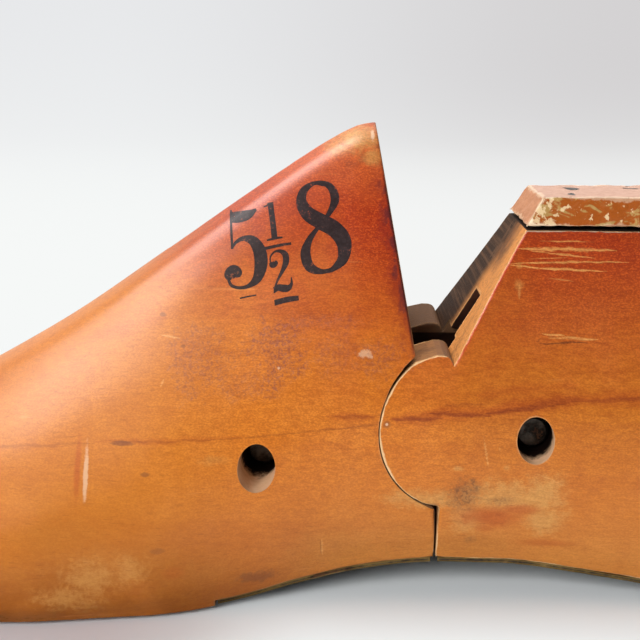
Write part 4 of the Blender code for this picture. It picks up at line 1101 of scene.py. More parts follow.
# %% Coats of shellac, marks and figure
def coats(side):
    """The shellac's colours with painted shade at the toe, painted bounce light low by the joint, and the
    cloudy height that its red follows.
    """
    wires, x, z, cloud = side.wires, side.x, side.z, side.grain["Cloud"]
    colour = wires.mix(wires.ramp(z, 0.004, 0.036), rgb(203, 119, 38), rgb(227, 136, 42))
    height = wires.times_plus(wires.math("MINIMUM", x, 0.015), 0.35, z)
    cloudy = wires.times_plus(wires.minus(cloud, 0.5), 0.03, height)
    colour = wires.mix(wires.ramp(cloudy, 0.038, 0.076), colour, rgb(182, 58, 6))
    colour = wires.mix(wires.ramp(z, 0.07, 0.083, 0.0, 0.6), colour, rgb(222, 118, 52))
    behind = wires.times(wires.ramp(x, 0.016, 0.032), wires.ramp(z, 0.012, 0.04))
    colour = wires.mix(behind, colour, (0.84, 0.84, 0.82, 1), "MULTIPLY")
    # painted shade: the foot of the toe side is darkened
    painted_low_toe_shade = wires.times(wires.ramp(z, 0.018, 0.004), wires.ramp(x, 0.0, -0.03))
    colour = wires.mix(painted_low_toe_shade, colour, (0.76, 0.7, 0.56, 1), "MULTIPLY")
    # painted shade: the toe end is darkened
    painted_toe_end_shade = wires.ramp(x, -0.008, -0.036)
    colour = wires.mix(painted_toe_end_shade, colour, (0.86, 0.9, 0.92, 1), "MULTIPLY")
    # painted light: the foot towards the joint is lightened, as light bounced up from the floor
    painted_low_bounce_light = wires.times(wires.ramp(z, 0.024, 0.008), wires.ramp(x, -0.016, 0.008))
    colour = wires.mix(wires.times(painted_low_bounce_light, 0.6), colour, rgb(226, 152, 68))
    light = wires.times(wires.ramp(cloud, 0.46, 0.72), wires.ramp(z, 0.07, 0.045, 0.08, 0.28))
    colour = wires.mix(light, colour, rgb(224, 140, 62))
    dark = wires.times(wires.ramp(cloud, 0.5, 0.3), 0.3)
    colour = wires.mix(dark, colour, (0.86, 0.74, 0.66, 1), "MULTIPLY")
    return colour, cloudy


def used(side, colour):
    """The marks of use, broad and faint ones first, with a band of painted shade under the gleam."""
    wires = side.wires
    colour = side.stained(colour, OLIVE_STAINS, rgb(192, 124, 50), 0.8)
    # the halos, with a band of painted shade under the gleam in the first row
    colour = side.scratched(colour, HALOS_AND_SHADE_BAND, rgb(182, 78, 26), 1.2, 0.001)
    colour = side.scratched(colour, STREAK, rgb(150, 68, 28), 2.2, 0.0008)
    colour = side.stained(colour, PALE_STAINS, rgb(220, 166, 92), 0.8, 1.3)
    colour = side.stained(colour, RED_STAINS, rgb(192, 92, 22), 0.6)
    colour = side.stained(colour, DARK_STAINS, rgb(112, 66, 48))
    speckled = wires.ramp(wires.noise(side.point, 1900, 2.0, 0.6), 0.45, 0.62)
    colour = side.stained(colour, KNOTS, rgb(112, 68, 42), 0.7, wires.times_plus(speckled, 0.45, 0.45))
    colour = side.stained(colour, RESIDUE, rgb(138, 82, 84), 0.35, wires.times_plus(speckled, 0.85, 0.28))
    colour = side.scratched(colour, CRACKS, rgb(84, 44, 22), 0.9, 0.0007)
    colour = side.scratched(colour, SCRATCHES, rgb(234, 176, 102), 2.6, 0.0005)
    return colour


def figured(side, colour, cloudy):
    """The maple's bands, lines and specks, and the chips that broke through them."""
    wires, x, z, grain = side.wires, side.x, side.z, side.grain
    colour = wires.mix(wires.times(wires.ramp(grain["Bands"], 0.45, 0.66), 0.3), colour,
                       (0.84, 0.7, 0.52, 1), "MULTIPLY")
    crisp = wires.times(wires.ramp(z, 0.014, 0.038, 0.5, 1.0), wires.ramp(x, -0.034, -0.01, 0.65, 1.0))
    lines = wires.times(wires.ramp(grain["Lines"], 0.38, 0.62), crisp)
    colour = wires.mix(wires.times(lines, 0.62), colour, (0.78, 0.66, 0.54, 1), "MULTIPLY")
    mottled = wires.ramp(side.both, -0.25, 0.25)
    colour = wires.mix(wires.times(mottled, 0.45), colour, (0.86, 0.76, 0.66, 1), "MULTIPLY")
    specks = wires.times(wires.ramp(grain["Specks"], 0.38, 0.6), crisp)
    colour = wires.mix(specks, colour, (0.8, 0.71, 0.62, 1), "MULTIPLY")
    lit = wires.times(wires.ramp(grain["Specks"], 0.5, 0.34), wires.ramp(cloudy, 0.044, 0.07, 0.0, 0.34))
    colour = wires.mix(lit, colour, rgb(222, 100, 34))
    colour = wires.mix(wires.times(grain["Flecks"], 0.3), colour, (0.6, 0.46, 0.38, 1), "MULTIPLY")
    return side.stained(colour, CHIPS, rgb(232, 198, 164))


print("steps of the colour:", [step.__name__ for step in (coats, used, figured)])

# %% [markdown]
# Dirt gathers where the shellac ends at the saw cut of the V, as a dark red smudge and a nearly black
# rim. Dry wood shows where the finish is rubbed along the grain, under the sole, and at the edges of the
# saw cuts: most on the round tongue, which slides in its socket, and hardly at all round the holes of the
# pins.

# %% Dirt at the sawn edge and rubbed wood
FLAT = (1, 0, 1)


def dirty_edge(side, colour):
    """The colour with dirt on the forepart's back edge, how far before it a point is, and if it is above."""
    wires, x, z = side.wires, side.x, side.z
    slope = wires.times(wires.minus(z, NOTCH[1] + LIP_RISE), math.tan(BACK_FACE_LEAN))
    face_x = wires.minus(hinge.x - BACK_FACE_SETBACK, slope)
    before = wires.minus(face_x, x)
    above = wires.times(wires.ramp(z, 0.046, 0.052), wires.math("GREATER_THAN", before, -0.001))
    below_peak = wires.ramp(z, 0.082, 0.074)
    above = wires.times(above, wires.times_plus(below_peak, 0.75, 0.25))
    smudge = wires.ramp(wires.times_plus(side.both, 0.008, before), 0.004, 0.0)
    colour = wires.mix(wires.times(wires.times(smudge, above), 0.6), colour, rgb(128, 28, 16))
    patch = wires.ramp(wires.noise(wires.stretched(side.point, (500, 1, 260)), 1, 3.0, 0.6), 0.48, 0.62)
    rim = wires.ramp(before, 0.003, 0.0002)
    colour = wires.mix(wires.times(wires.times(rim, above), wires.times(patch, 0.75)), colour,
                       rgb(78, 30, 36))
    rim = wires.ramp(before, 0.0006, 0.0002)
    colour = wires.mix(wires.times(wires.times(rim, above), 0.85), colour, rgb(58, 20, 16))
    return colour, before, above


def rubbed_sides(side, colour):
    """The colour rubbed along the grain and under the sole, and where the sole is."""
    wires = side.wires
    rubbed = wires.noise(wires.stretched(side.point, (40, 260, 620)), 1, 3.0, 0.6)
    rubs = wires.times(wires.ramp(rubbed, 0.69, 0.78), 0.4)
    colour = wires.mix(rubs, colour, rgb(226, 152, 84))
    facing = wires.parts(wires.place("Normal"))["Z"]
    under = wires.ramp(wires.times_plus(side.both, 0.5, facing), -0.55, -0.85)
    colour = wires.mix(wires.times(under, 0.75), colour, rgb(136, 96, 62))
    return colour, under


def at_tongue(side):
    """The distance from the hinge, and the width of the bare rim, which is wider at the tongue's nose."""
    wires, z = side.wires, side.z
    off_axis = wires.vector("MULTIPLY", wires.vector("SUBTRACT", side.point, tuple(hinge)), FLAT)
    turn_radius = wires.vector("LENGTH", off_axis)
    on_tongue = wires.ramp(turn_radius, TONGUE_RADIUS + 0.00016, TONGUE_RADIUS + 0.00008)
    band = wires.times(on_tongue, wires.ramp(turn_radius, TONGUE_RADIUS - 0.0025, TONGUE_RADIUS - 0.0015))
    left_of_hinge = wires.ramp(wires.parts(off_axis)["X"], -0.004, -0.009)
    rubbed_tongue = wires.times(band, left_of_hinge)
    rubbed_tongue = wires.times(rubbed_tongue, wires.ramp(z, hinge.z - 0.0135, hinge.z - 0.01))
    width = wires.times_plus(rubbed_tongue, 0.00016, 0.00021)
    return turn_radius, width


def edges_to_bare(side, turn_radius, before, above):
    """Which edges can be bare: not the dirty one, not the socket's and not much at the pins' holes."""
    wires, x = side.wires, side.x
    may_bare = wires.minus(1.0, wires.times(above, wires.ramp(before, 0.004, 0.002)))
    on_forepart = wires.times(wires.ramp(turn_radius, TONGUE_RADIUS + 0.00008, TONGUE_RADIUS + 0.00016),
                              wires.ramp(x, BUTT_X + 0.0002, BUTT_X + 0.0001))
    may_bare = wires.times(may_bare, wires.times_plus(on_forepart, -0.85, 1.0))
    for pin in (front_pin, rear_pin):
        off_pin = wires.vector("MULTIPLY", wires.vector("SUBTRACT", side.point, tuple(pin)), FLAT)
        at_hole = wires.ramp(wires.vector("LENGTH", off_pin), 0.0062, 0.0052)
        may_bare = wires.times(may_bare, wires.times_plus(at_hole, -0.7, 1.0))
    return may_bare


def red_v_line(side, colour, may_bare):
    """The thin red line where shellac ran over the V's edge, which isn't bare either."""
    wires, x, z = side.wires, side.x, side.z
    along_v = wires.minus(x, wires.times_plus(wires.minus(z, NOTCH[1]), math.tan(V_FACE_LEAN), NOTCH[0]))
    on_v = wires.times(wires.ramp(along_v, 0.0022, 0.0014), wires.ramp(z, NOTCH[1], NOTCH[1] + 0.001))
    on_v = wires.times(on_v, wires.math("GREATER_THAN", along_v, -0.0008))
    on_v = wires.times(on_v, wires.ramp(z, TOP_HEIGHT - 0.0004, TOP_HEIGHT - 0.0012))
    may_bare = wires.times(may_bare, wires.times_plus(on_v, -0.95, 1.0))
    red_line = wires.ramp(wires.times_plus(side.both, 0.001, along_v), 0.0007, 0.0002)
    colour = wires.mix(wires.times(wires.times(red_line, on_v), 0.55), colour, rgb(198, 62, 34))
    return colour, may_bare


print("round of the tongue, mm:", TONGUE_RADIUS * 1000)

# %% [markdown]
# The steps are joined in one node group, because the stamped numbers need the same wood under their ink.

# %% The colour of the shellacked maple
def shellac_colour():
    wires, _, out = shared_effect("shellac_colour", [],
                                  [("Colour", "Color"), ("Bare", "Float"), ("Height", "Float")])
    side = Painter(wires)
    colour, cloudy = coats(side)
    colour = figured(side, used(side, colour), cloudy)
    colour, before, above = dirty_edge(side, colour)
    colour, under = rubbed_sides(side, colour)
    turn_radius, width = at_tongue(side)
    bare_edge = wires.use(edge, width=width, raggedness=0.0009)["Mask"]
    may_bare = edges_to_bare(side, turn_radius, before, above)
    colour, may_bare = red_v_line(side, colour, may_bare)
    bare = wires.times(bare_edge, may_bare)
    at_cap = wires.ramp(side.z, TOP_HEIGHT - 0.0012, TOP_HEIGHT - 0.0006)
    wood = wires.mix(at_cap, rgb(234, 200, 152), rgb(176, 160, 140))
    wires.join(wires.mix(wires.times(bare, 0.85), colour, wood), out["Colour"])
    wires.join(wires.highest(bare, wires.times(under, 0.8)), out["Bare"])
    relief = wires.times_plus(side.grain["Lines"], 0.6, wires.times(side.grain["Pits"], 0.25))
    wires.join(relief, out["Height"])
    return wires.tree


wood_colour = shellac_colour()
print("nodes in the wood's colour:", len(wood_colour.nodes))

# %% [markdown]
# The finish itself is a thin clear coat over the wood. The coat is a little cloudy with age, which is
# what makes the gleam along the ridge broad and milky, and it is gone where the wood is bare.

# %% Shellacked maple and stamped ink
def shellacked_maple():
    made, wires, shader = finish("shellacked_maple")
    wood = wires.use(wood_colour)
    wires.give(shader, Base_Color=wood["Colour"])
    smears = wires.noise(wires.stretched(wires.place(), (60, 60, 160)), 1, 3.0, 0.6)
    rough = wires.times_plus(smears, 0.16, 0.34)
    wires.give(shader, Roughness=wires.times_plus(wood["Bare"], 0.22, rough),
               Coat_Weight=wires.ramp(wood["Bare"], 0.7, 0.0, 0.0, 0.6), Coat_Roughness=0.33,
               Specular_IOR_Level=0.25)
    wires.roughen(shader, wood["Height"], 0.35, 0.00012)
    return made


def stamped_ink():
    made, wires, shader = finish("stamped_ink")
    wood = wires.use(wood_colour)
    point = wires.place()
    speckle = wires.noise(point, 1500, 3.0, 0.7)
    patchy = wires.noise(point, 240, 2.0)
    cover = wires.times_plus(patchy, 0.35, speckle)
    share = wires.ramp(cover, 0.94, 0.78, 0.45, 0.97)
    ink = wires.mix(wires.ramp(speckle, 0.35, 0.65), rgb(14, 13, 17), rgb(38, 34, 37))
    wires.give(shader, Base_Color=wires.mix(share, wood["Colour"], ink), Roughness=0.5,
               Coat_Weight=wires.ramp(patchy, 0.3, 0.7, 0.15, 0.35), Specular_IOR_Level=0.25,
               Coat_Roughness=0.36)
    wires.roughen(shader, speckle, 0.25, 0.00008)
    return made


# %% [markdown]
# Sawn faces never saw shellac. They are dry and pale at the rim, with fine lines left by the saw across the
# block. Painted shade darkens their far side and the V's foot to near black, and the band near the rim on
# the near side is painted paler, a painted light; the top under the lift is painted dark, a painted shade in
# the gap. Inside the mortise the wood is nearly black, partly oil from the link and partly painted shade
# deep in the slot.

# %% Sawn maple and oily maple, both with painted shade
def sawn_maple():
    made, wires, shader = finish("sawn_maple")
    point = wires.place()
    speckle = wires.noise(wires.stretched(point, (900, 1600, 1500)), 1, 4.0, 0.65)
    saw = wires.noise(wires.stretched(point, (500, 24, 1500)), 1, 3.0, 0.6)
    x, y, z = wires.parts(point)
    colour = wires.mix(speckle, rgb(116, 70, 40), rgb(176, 118, 70))
    # painted shade: the far side of a sawn face is darkened to near black
    far = wires.ramp(wires.times_plus(wires.minus(speckle, 0.5), 0.006, y), -0.004, 0.003)
    colour = wires.mix(wires.times(far, 0.95), colour, rgb(40, 27, 18))
    # painted shade: the V face darkens low down, deeper in the cut
    foot = wires.ramp(z, 0.06, 0.046)
    colour = wires.mix(wires.times(foot, 0.5), colour, rgb(58, 38, 26))
    colour = wires.mix(wires.times(wires.ramp(saw, 0.45, 0.7), 0.4), colour, rgb(128, 92, 66))
    smudges = wires.noise(wires.stretched(point, (330, 420, 230)), 1, 3.0, 0.6)
    high = wires.ramp(z, 0.05, 0.06)
    middle_band = wires.times(wires.ramp(y, -0.013, -0.006), wires.ramp(y, 0.008, 0.001))
    dirt = wires.times_plus(wires.times(middle_band, high), 0.2, smudges)
    colour = wires.mix(wires.times(wires.ramp(dirt, 0.66, 0.78), 0.75), colour, rgb(100, 70, 48))
    normal_x = wires.parts(wires.place("Normal"))["X"]
    # painted light: the near half of a sawn face that faces the front is painted paler towards its rim, as
    # lit
    faces_front = wires.ramp(normal_x, 0.2, -0.2)
    near = wires.times(wires.ramp(y, 0.004, -0.004), faces_front)
    band = wires.use(edge, width=0.0085, raggedness=0.003)["Mask"]
    near = wires.times(near, wires.ramp(speckle, 0.36, 0.56, 0.55, 1.0))
    colour = wires.mix(wires.times(wires.times(band, near), 0.85), colour, rgb(218, 146, 80))
    on_lip = wires.times(wires.ramp(z, NOTCH[1] + LIP_RISE + 0.0008, NOTCH[1] + LIP_RISE + 0.0003),
                         wires.ramp(x, NOTCH[0] + 0.0002, NOTCH[0] - 0.0002))
    colour = wires.mix(wires.times(on_lip, 0.75), colour,
                       wires.mix(speckle, rgb(66, 46, 34), rgb(116, 84, 60)))
    # the pale worn rim, painted brighter on the lit near half
    rim = wires.use(edge, width=0.0008, raggedness=0.0008)["Mask"]
    colour = wires.mix(wires.times(rim, wires.times_plus(near, 0.45, 0.1)), colour, rgb(236, 184, 126))
    # painted shade: the top under the lift is painted nearly black, as the shade in the gap
    shaded_gap_top = wires.ramp(wires.parts(wires.place("Normal"))["Z"], 0.9, 0.97)
    colour = wires.mix(wires.times(shaded_gap_top, wires.ramp(z, TOP_HEIGHT - 0.002, TOP_HEIGHT - 0.001)), colour,
                       rgb(46, 34, 28))
    wires.give(shader, Base_Color=colour, Roughness=wires.times_plus(speckle, 0.2, 0.62),
               Specular_IOR_Level=0.12)
    height = wires.times_plus(saw, 0.8, speckle)
    wires.roughen(shader, height, 0.6, 0.00015)
    return made


def oily_shaded_maple():
    made, wires, shader = finish("oily_shaded_maple")
    point = wires.place()
    grain = wires.use(figure)
    oil_shade_patches = wires.noise(point, 130, 3.0, 0.6)
    # painted shade: the mortise's wood is nearly black, partly oil from the link and partly the shade deep
    # in the slot
    colour = wires.mix(wires.ramp(oil_shade_patches, 0.35, 0.7), rgb(40, 22, 15), rgb(92, 52, 32))
    colour = wires.mix(wires.times(grain["Lines"], 0.5), colour, rgb(24, 14, 10))
    x, y, z = wires.parts(point)
    # above the mouth line the far wall keeps a plain brown, free of the painted shade
    at_mouth = wires.times(wires.ramp(z, MOUTH_LINE - 0.00015, MOUTH_LINE + 0.00015),
                           wires.math("GREATER_THAN", y, 0.002))
    colour = wires.mix(at_mouth, colour, wires.mix(oil_shade_patches, rgb(104, 74, 50), rgb(150, 112, 82)))
    wires.give(shader, Base_Color=colour, Roughness=wires.times_plus(oil_shade_patches, 0.3, 0.4))
    wires.roughen(shader, grain["Pits"], 0.5, 0.0001)
    return made


def bored_maple():
    """Clean pale wood at the mouth of a pin's hole, painted black further in as the shade deep in the hole.
    """
    made, wires, shader = finish("bored_maple")
    point = wires.place()
    speckle = wires.noise(point, 900, 3.0, 0.6)
    depth = wires.math("ABSOLUTE", wires.plus(wires.parts(point)["Y"], -front_pin.y))
    ragged = wires.times_plus(wires.minus(speckle, 0.5), 0.004, depth)
    pale = wires.mix(speckle, rgb(206, 158, 118), rgb(236, 198, 160))
    # painted shade: past the mouth the hole's wall turns black
    colour = wires.mix(wires.ramp(ragged, 0.018, 0.0208), rgb(18, 10, 8), pale)
    wires.give(shader, Base_Color=colour, Roughness=0.7, Specular_IOR_Level=0.2)
    wires.roughen(shader, speckle, 0.5, 0.0001)
    return made


shellac, ink, sawn = shellacked_maple(), stamped_ink(), sawn_maple()
oil_and_shade, bored = oily_shaded_maple(), bored_maple()
print("wood finishes:", [made.name for made in (shellac, ink, sawn, oil_and_shade, bored)])

# %% [markdown]
# The lift on the heel is raw sole leather. Its cut front shows pink-tan fibre, its top is rubbed grey,
# and its side is a mosaic of amber dressing, dull ochre and cream where chips have broken off.

# %% Cap leather
def cap_leather():
    made, wires, shader = finish("cap_leather")
    point = wires.place()
    _, ny, nz = wires.parts(wires.place("Normal"))
    fibre = wires.noise(wires.stretched(point, (900, 500, 1500)), 1, 4.0, 0.7)
    pores = wires.noise(point, 700, 4.0, 0.65)
    flakes = wires.noise(wires.stretched(point, (260, 260, 420)), 1, 3.0, 0.6, 0.8)
    front = wires.mix(fibre, rgb(166, 106, 70), rgb(208, 150, 112))
    top = wires.mix(pores, rgb(158, 122, 104), rgb(196, 160, 142))
    at_corner = wires.ramp(wires.parts(point)["X"], cap_low.x + 0.0105, cap_low.x + 0.003)
    dressing = wires.ramp(wires.times_plus(at_corner, 0.1, flakes), 0.66, 0.58)
    side = wires.mix(pores, rgb(150, 112, 56), rgb(206, 164, 100))
    side = wires.mix(dressing, side, rgb(164, 82, 18))
    chipped = wires.times_plus(at_corner, 0.09, pores)
    side = wires.mix(wires.times(wires.ramp(chipped, 0.6, 0.66), 0.8), side, rgb(236, 208, 162))
    sideways = wires.ramp(wires.math("ABSOLUTE", ny), 0.45, 0.7)
    colour = wires.mix(sideways, front, side)
    colour = wires.mix(wires.ramp(nz, 0.55, 0.8), colour, top)
    chips = wires.use(edge, width=0.0007, raggedness=0.003)["Mask"]
    share = wires.times_plus(wires.times(sideways, at_corner), 0.5, 0.32)
    colour = wires.mix(wires.times(chips, share), colour, rgb(244, 222, 188))
    wires.give(shader, Base_Color=colour)
    gloss = wires.times(sideways, wires.times(dressing, -0.3))
    wires.give(shader, Roughness=wires.plus(0.78, gloss), Specular_IOR_Level=0.35)
    relief = wires.plus(wires.times(fibre, 0.5), flakes)
    wires.roughen(shader, relief, 0.8, 0.00035)
    return made


# %% [markdown]
# All the metal is hidden or low down: thin iron plates under the sole, nails, two cross pins, a tube for
# the jack, and the link. One group gives each its tarnish and pits, and each finish sets its own colours.

# %% Iron and steel
def tarnish():
    wires, given, out = shared_effect("tarnish",
                                      [("Clean", "Color", (0.3, 0.3, 0.3, 1)),
                                       ("Dull", "Color", (0.1, 0.1, 0.1, 1)),
                                       ("Rust", "Color", (0.2, 0.08, 0.03, 1)), ("Rusted", "Float", 0.3),
                                       ("Scale", "Float", 200.0)],
                                      [("Colour", "Color"), ("Roughness", "Float"), ("Metal", "Float"),
                                       ("Height", "Float")])
    point = wires.place()
    slow = wires.noise(point, given["Scale"], 4.0, 0.6)
    fast = wires.noise(point, wires.times(given["Scale"], 6.0), 3.0, 0.6)
    drawn = wires.noise(wires.stretched(point, (2200, 120, 2200)), 1, 2.0)
    colour = wires.mix(wires.ramp(slow, 0.38, 0.62), given["Clean"], given["Dull"])
    colour = wires.mix(wires.times(drawn, 0.3), colour, given["Dull"])
    edge_of_rust = wires.minus(0.75, wires.times(given["Rusted"], 0.4))
    both = wires.times_plus(fast, 0.4, wires.times(slow, 0.6))
    rust = wires.ramp(both, edge_of_rust, wires.plus(edge_of_rust, 0.06))
    wires.join(wires.mix(rust, colour, given["Rust"]), out["Colour"])
    wires.join(wires.times_plus(rust, 0.35, wires.times_plus(slow, 0.3, 0.26)), out["Roughness"])
    wires.join(wires.times_plus(rust, -0.8, 0.95), out["Metal"])
    wires.join(wires.times_plus(rust, 0.5, fast), out["Height"])
    return wires.tree


tarnished = tarnish()


def metal(name, clean, dull, rust, rusted, scale, worn_rim=None):
    """A tarnished metal; the rim colour shows where an edge is worn."""
    made, wires, shader = finish(name)
    skin = wires.use(tarnished, clean=clean, dull=dull, rust=rust, rusted=rusted, scale=scale)
    colour = skin["Colour"]
    if worn_rim:
        colour = wires.mix(wires.use(edge, width=0.0005, raggedness=0.0008)["Mask"], colour, worn_rim)
    wires.give(shader, Base_Color=colour, Roughness=skin["Roughness"], Metallic=skin["Metal"])
    wires.roughen(shader, skin["Height"], 0.5, 0.00006)
    return made


leather = cap_leather()
plate_iron = metal("sole_iron", rgb(96, 84, 70), rgb(58, 48, 42), rgb(92, 62, 40), 0.55, 140.0,
                   rgb(156, 128, 78))
pin_steel = metal("pin_steel", rgb(92, 86, 80), rgb(46, 42, 38), rgb(70, 44, 28), 0.45, 420.0)
tube_steel = metal("thimble_steel", rgb(158, 152, 142), rgb(104, 96, 86), rgb(116, 70, 38), 0.35, 260.0)
link_steel = metal("link_steel", rgb(128, 124, 118), rgb(78, 74, 68), rgb(98, 60, 36), 0.35, 240.0)
nail_iron = metal("nail_iron", rgb(112, 104, 94), rgb(62, 54, 48), rgb(96, 58, 36), 0.4, 500.0)
print("metals:", [made.name for made in (plate_iron, pin_steel, tube_steel, link_steel, nail_iron)])

# %% [markdown]
# The wood
#
# The forepart is lofted from the toe to just past the butt joint. Its skin takes the shellac, and every
# cutter brings the finish of the face that it leaves: sawn maple from the saws and drills, and in the
# mortise oily maple darkened with painted shade.

# %% The forepart
def stations(first, last, count, crowding, crowd_first):
    """Shares of the length that lie closer together towards a closed end."""
    steps = [(i / count) ** crowding for i in range(count + 1)]
    if crowd_first:
        return [first + (last - first) * step for step in steps]
    return [last - (last - first) * step for step in reversed(steps)]


def carve_forepart():
    """The front block, from the toe to the hollow socket."""
    shares = stations(0, share_at(BUTT_X + OVERRUN), 112, 1.25, True)
    made = loft("forepart_wood", [section(share) for share in shares])
    made.data.materials.append(shellac)
    hole = pin_hole(front_pin, -0.0007, 0.0)
    seat = plate_seat("forepart_sole_plate", GAP, OVERRUN)
    cut(made, [(forepart_cutter(), sawn), (forepart_mortise(), oil_and_shade), (hole, bored), (seat, sawn)])
    wear_edges(made, **WOOD_WEAR)
    return keep_inside(made, "forepart_block")


forepart = carve_forepart()
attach(forepart, "forepart")
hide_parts("forepart_block")
print("forepart triangles:", triangles(forepart))
print("its finishes:", [made.name for made in forepart.data.materials])

# %% The heel part
def heel_shell(name, count=96):
    """The back of the last before it is cut."""
    first = share_at(hinge.x - TONGUE_RADIUS - OVERRUN)
    return loft(name, [section(share) for share in stations(first, 1, count, 1.5, False)])


tube_low, tube_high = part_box("jack_thimble")
tube = (tube_low + tube_high) / 2
TUBE_RADIUS = (tube_high.x - tube_low.x) / 2


def carve_heel():
    """The back block, with the round tongue and the flat top."""
    made = heel_shell("heel_wood")
    made.data.materials.append(shellac)
    flat = TOP_HEIGHT - CAP_GAP
    top = [(0, flat), (LAST_LENGTH, flat), (LAST_LENGTH, CEILING), (0, CEILING)]
    hole = pin_hole(rear_pin, -0.0003, 0.0004)
    bore = upright_rod("bore", (tube.x, tube.y), TUBE_RADIUS + GAP, tube_low.z - GAP, CEILING)
    seat = plate_seat("heel_sole_plate", OVERRUN, OVERRUN)
    cut(made, [(prism("top", top, -WIDE, WIDE), sawn), (heel_cutter(), sawn), (heel_mortise(), oil_and_shade),
               (saw_slot(), oil_and_shade), (hole, bored), (bore, sawn), (seat, sawn)])
    wear_edges(made, **WOOD_WEAR)
    return keep_inside(made, "heel_block")


heel = carve_heel()
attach(heel, "heel")
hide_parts("heel_block")
print("heel triangles:", triangles(heel))

# %% [markdown]
# The stamped size
#
# A last carries its size in big stamped numbers. Each is drawn here as a few pen strokes, thick and thin,
# in a square of its own with the foot of the number at zero. The strokes are made solid and joined, so
# that where they cross they are one piece.

# %% Pen strokes
NUMERALS = {
    "5": [[(0.15, 0.995, 0.03), (0.145, 0.8, 0.035), (0.13, 0.52, 0.035)],
          [(0.14, 0.915, 0.12), (0.26, 0.905, 0.14), (0.4, 0.915, 0.12), (0.52, 0.965, 0.03)],
          [(0.13, 0.535, 0.03), (0.2, 0.6, 0.045), (0.31, 0.625, 0.07), (0.43, 0.57, 0.13),
           (0.5, 0.43, 0.175), (0.5, 0.26, 0.18), (0.43, 0.1, 0.13), (0.31, 0.025, 0.06),
           (0.18, 0.02, 0.04), (0.07, 0.07, 0.04), (0.035, 0.16, 0.04)],
          [(0.045, 0.14, 0.05), (0.055, 0.2, 0.15), (0.11, 0.235, 0.17), (0.165, 0.2, 0.15),
           (0.175, 0.15, 0.05)]],
    "8": [[(0.4, 0.955, 0.05), (0.29, 0.985, 0.045), (0.16, 0.93, 0.09), (0.11, 0.81, 0.13),
           (0.17, 0.67, 0.16), (0.31, 0.555, 0.175), (0.46, 0.44, 0.18), (0.545, 0.29, 0.18),
           (0.51, 0.12, 0.13), (0.38, 0.03, 0.06), (0.29, 0.02, 0.045)],
          [(0.36, 0.025, 0.04), (0.24, 0.025, 0.055), (0.11, 0.1, 0.11), (0.08, 0.25, 0.12),
           (0.15, 0.39, 0.075), (0.28, 0.51, 0.045), (0.42, 0.63, 0.06), (0.51, 0.77, 0.105),
           (0.475, 0.91, 0.08), (0.36, 0.98, 0.045), (0.26, 0.98, 0.04)]],
    "1": [[(0.27, 0.985, 0.17), (0.27, 0.72, 0.165), (0.275, 0.4, 0.165), (0.27, 0.03, 0.175)],
          [(0.06, 0.9, 0.03), (0.15, 0.915, 0.05), (0.22, 0.955, 0.06), (0.27, 0.975, 0.03)],
          [(0.04, 0.022, 0.045), (0.2, 0.03, 0.06), (0.35, 0.03, 0.06), (0.5, 0.022, 0.045)]],
    "2": [[(0.055, 0.72, 0.03), (0.07, 0.86, 0.04), (0.19, 0.965, 0.05), (0.34, 0.955, 0.09),
           (0.455, 0.85, 0.155), (0.45, 0.68, 0.16), (0.34, 0.5, 0.1), (0.2, 0.32, 0.06),
           (0.1, 0.15, 0.05), (0.07, 0.03, 0.05)],
          [(0.05, 0.745, 0.05), (0.075, 0.7, 0.14), (0.13, 0.68, 0.16), (0.19, 0.71, 0.13),
           (0.205, 0.76, 0.04)],
          [(0.07, 0.1, 0.13), (0.18, 0.135, 0.15), (0.32, 0.095, 0.17), (0.44, 0.085, 0.15),
           (0.525, 0.16, 0.08), (0.545, 0.31, 0.03)]],
}
BARS = [[(0.0, 0.0, 0.1), (0.5, 0.012, 0.1), (1.0, 0.0, 0.085)]]


def pen_outline(points, steps=9):
    """The outline of a smooth pen stroke through points with a width at each."""
    knots = np.array(points)
    padded = np.vstack([2 * knots[0] - knots[1], knots, 2 * knots[-1] - knots[-2]])
    rows = []
    for i in range(len(knots) - 1):
        p0, p1, p2, p3 = padded[i:i + 4]
        last = i == len(knots) - 2
        for t in np.linspace(0, 1, steps + 1)[:steps + 1 if last else steps]:
            bend = 2 * p0 - 5 * p1 + 4 * p2 - p3 + t * (3 * (p1 - p2) + p3 - p0)
            rows.append(p1 + 0.5 * t * (p2 - p0 + t * bend))
    rows = np.array(rows)
    along = np.gradient(rows[:, :2], axis=0)
    along /= np.linalg.norm(along, axis=1)[:, None]
    side = np.column_stack([-along[:, 1], along[:, 0]]) * rows[:, 2:3] / 2
    return np.vstack([rows[:, :2] + side, (rows[:, :2] - side)[::-1]])


print("numerals drawn:", sorted(NUMERALS))

# %% [markdown]
# The joined strokes are sliced by a fine grid, and each point is then dropped on the wood from the side,
# with the top of the ink a few hundredths of a millimetre proud. The whole mark climbs towards the V and
# leans back, as if stamped by hand.

# %% Laying the mark on the wood
MARK_ALONG = Vector((0.981, 0.196))
MARK_UP = Vector((-0.147, 0.989))
INK_PROUD, INK_DEPTH = 0.00003, 0.0001
STAMPS = [("5", (-17.3, 57.6), 13.6, 13.4), ("8", (-3.6, 60.2), 15.6, 15.9), ("1", (-10.4, 66.3), 6.5, 6.6),
          ("2", (-9.0, 57.3), 7.2, 7.3), ("bar", (-10.6, 65.05), 5.1, 5.4), ("bar", (-8.5, 56.0), 4.5, 9.5),
          ("bar", (-14.9, 56.6), 3.1, 2.6)]


def mark_solid(name, outlines, origin, wide, tall):
    """The strokes of one stamp as one flat solid in millimetres, seen square on."""
    solids = []
    for count, outline in enumerate(outlines):
        points = []
        for x, z in pen_outline(outline):
            at = Vector(origin) + MARK_ALONG * x * wide + MARK_UP * z * tall
            points.append((at.x, at.y))
        solids.append(prism(f"{name}_{count}", points, -0.5, 0.5 + 0.01 * count))
    if len(solids) > 1:
        cut(solids[0], [(solid, None) for solid in solids[1:]], "UNION")
    return solids[0]


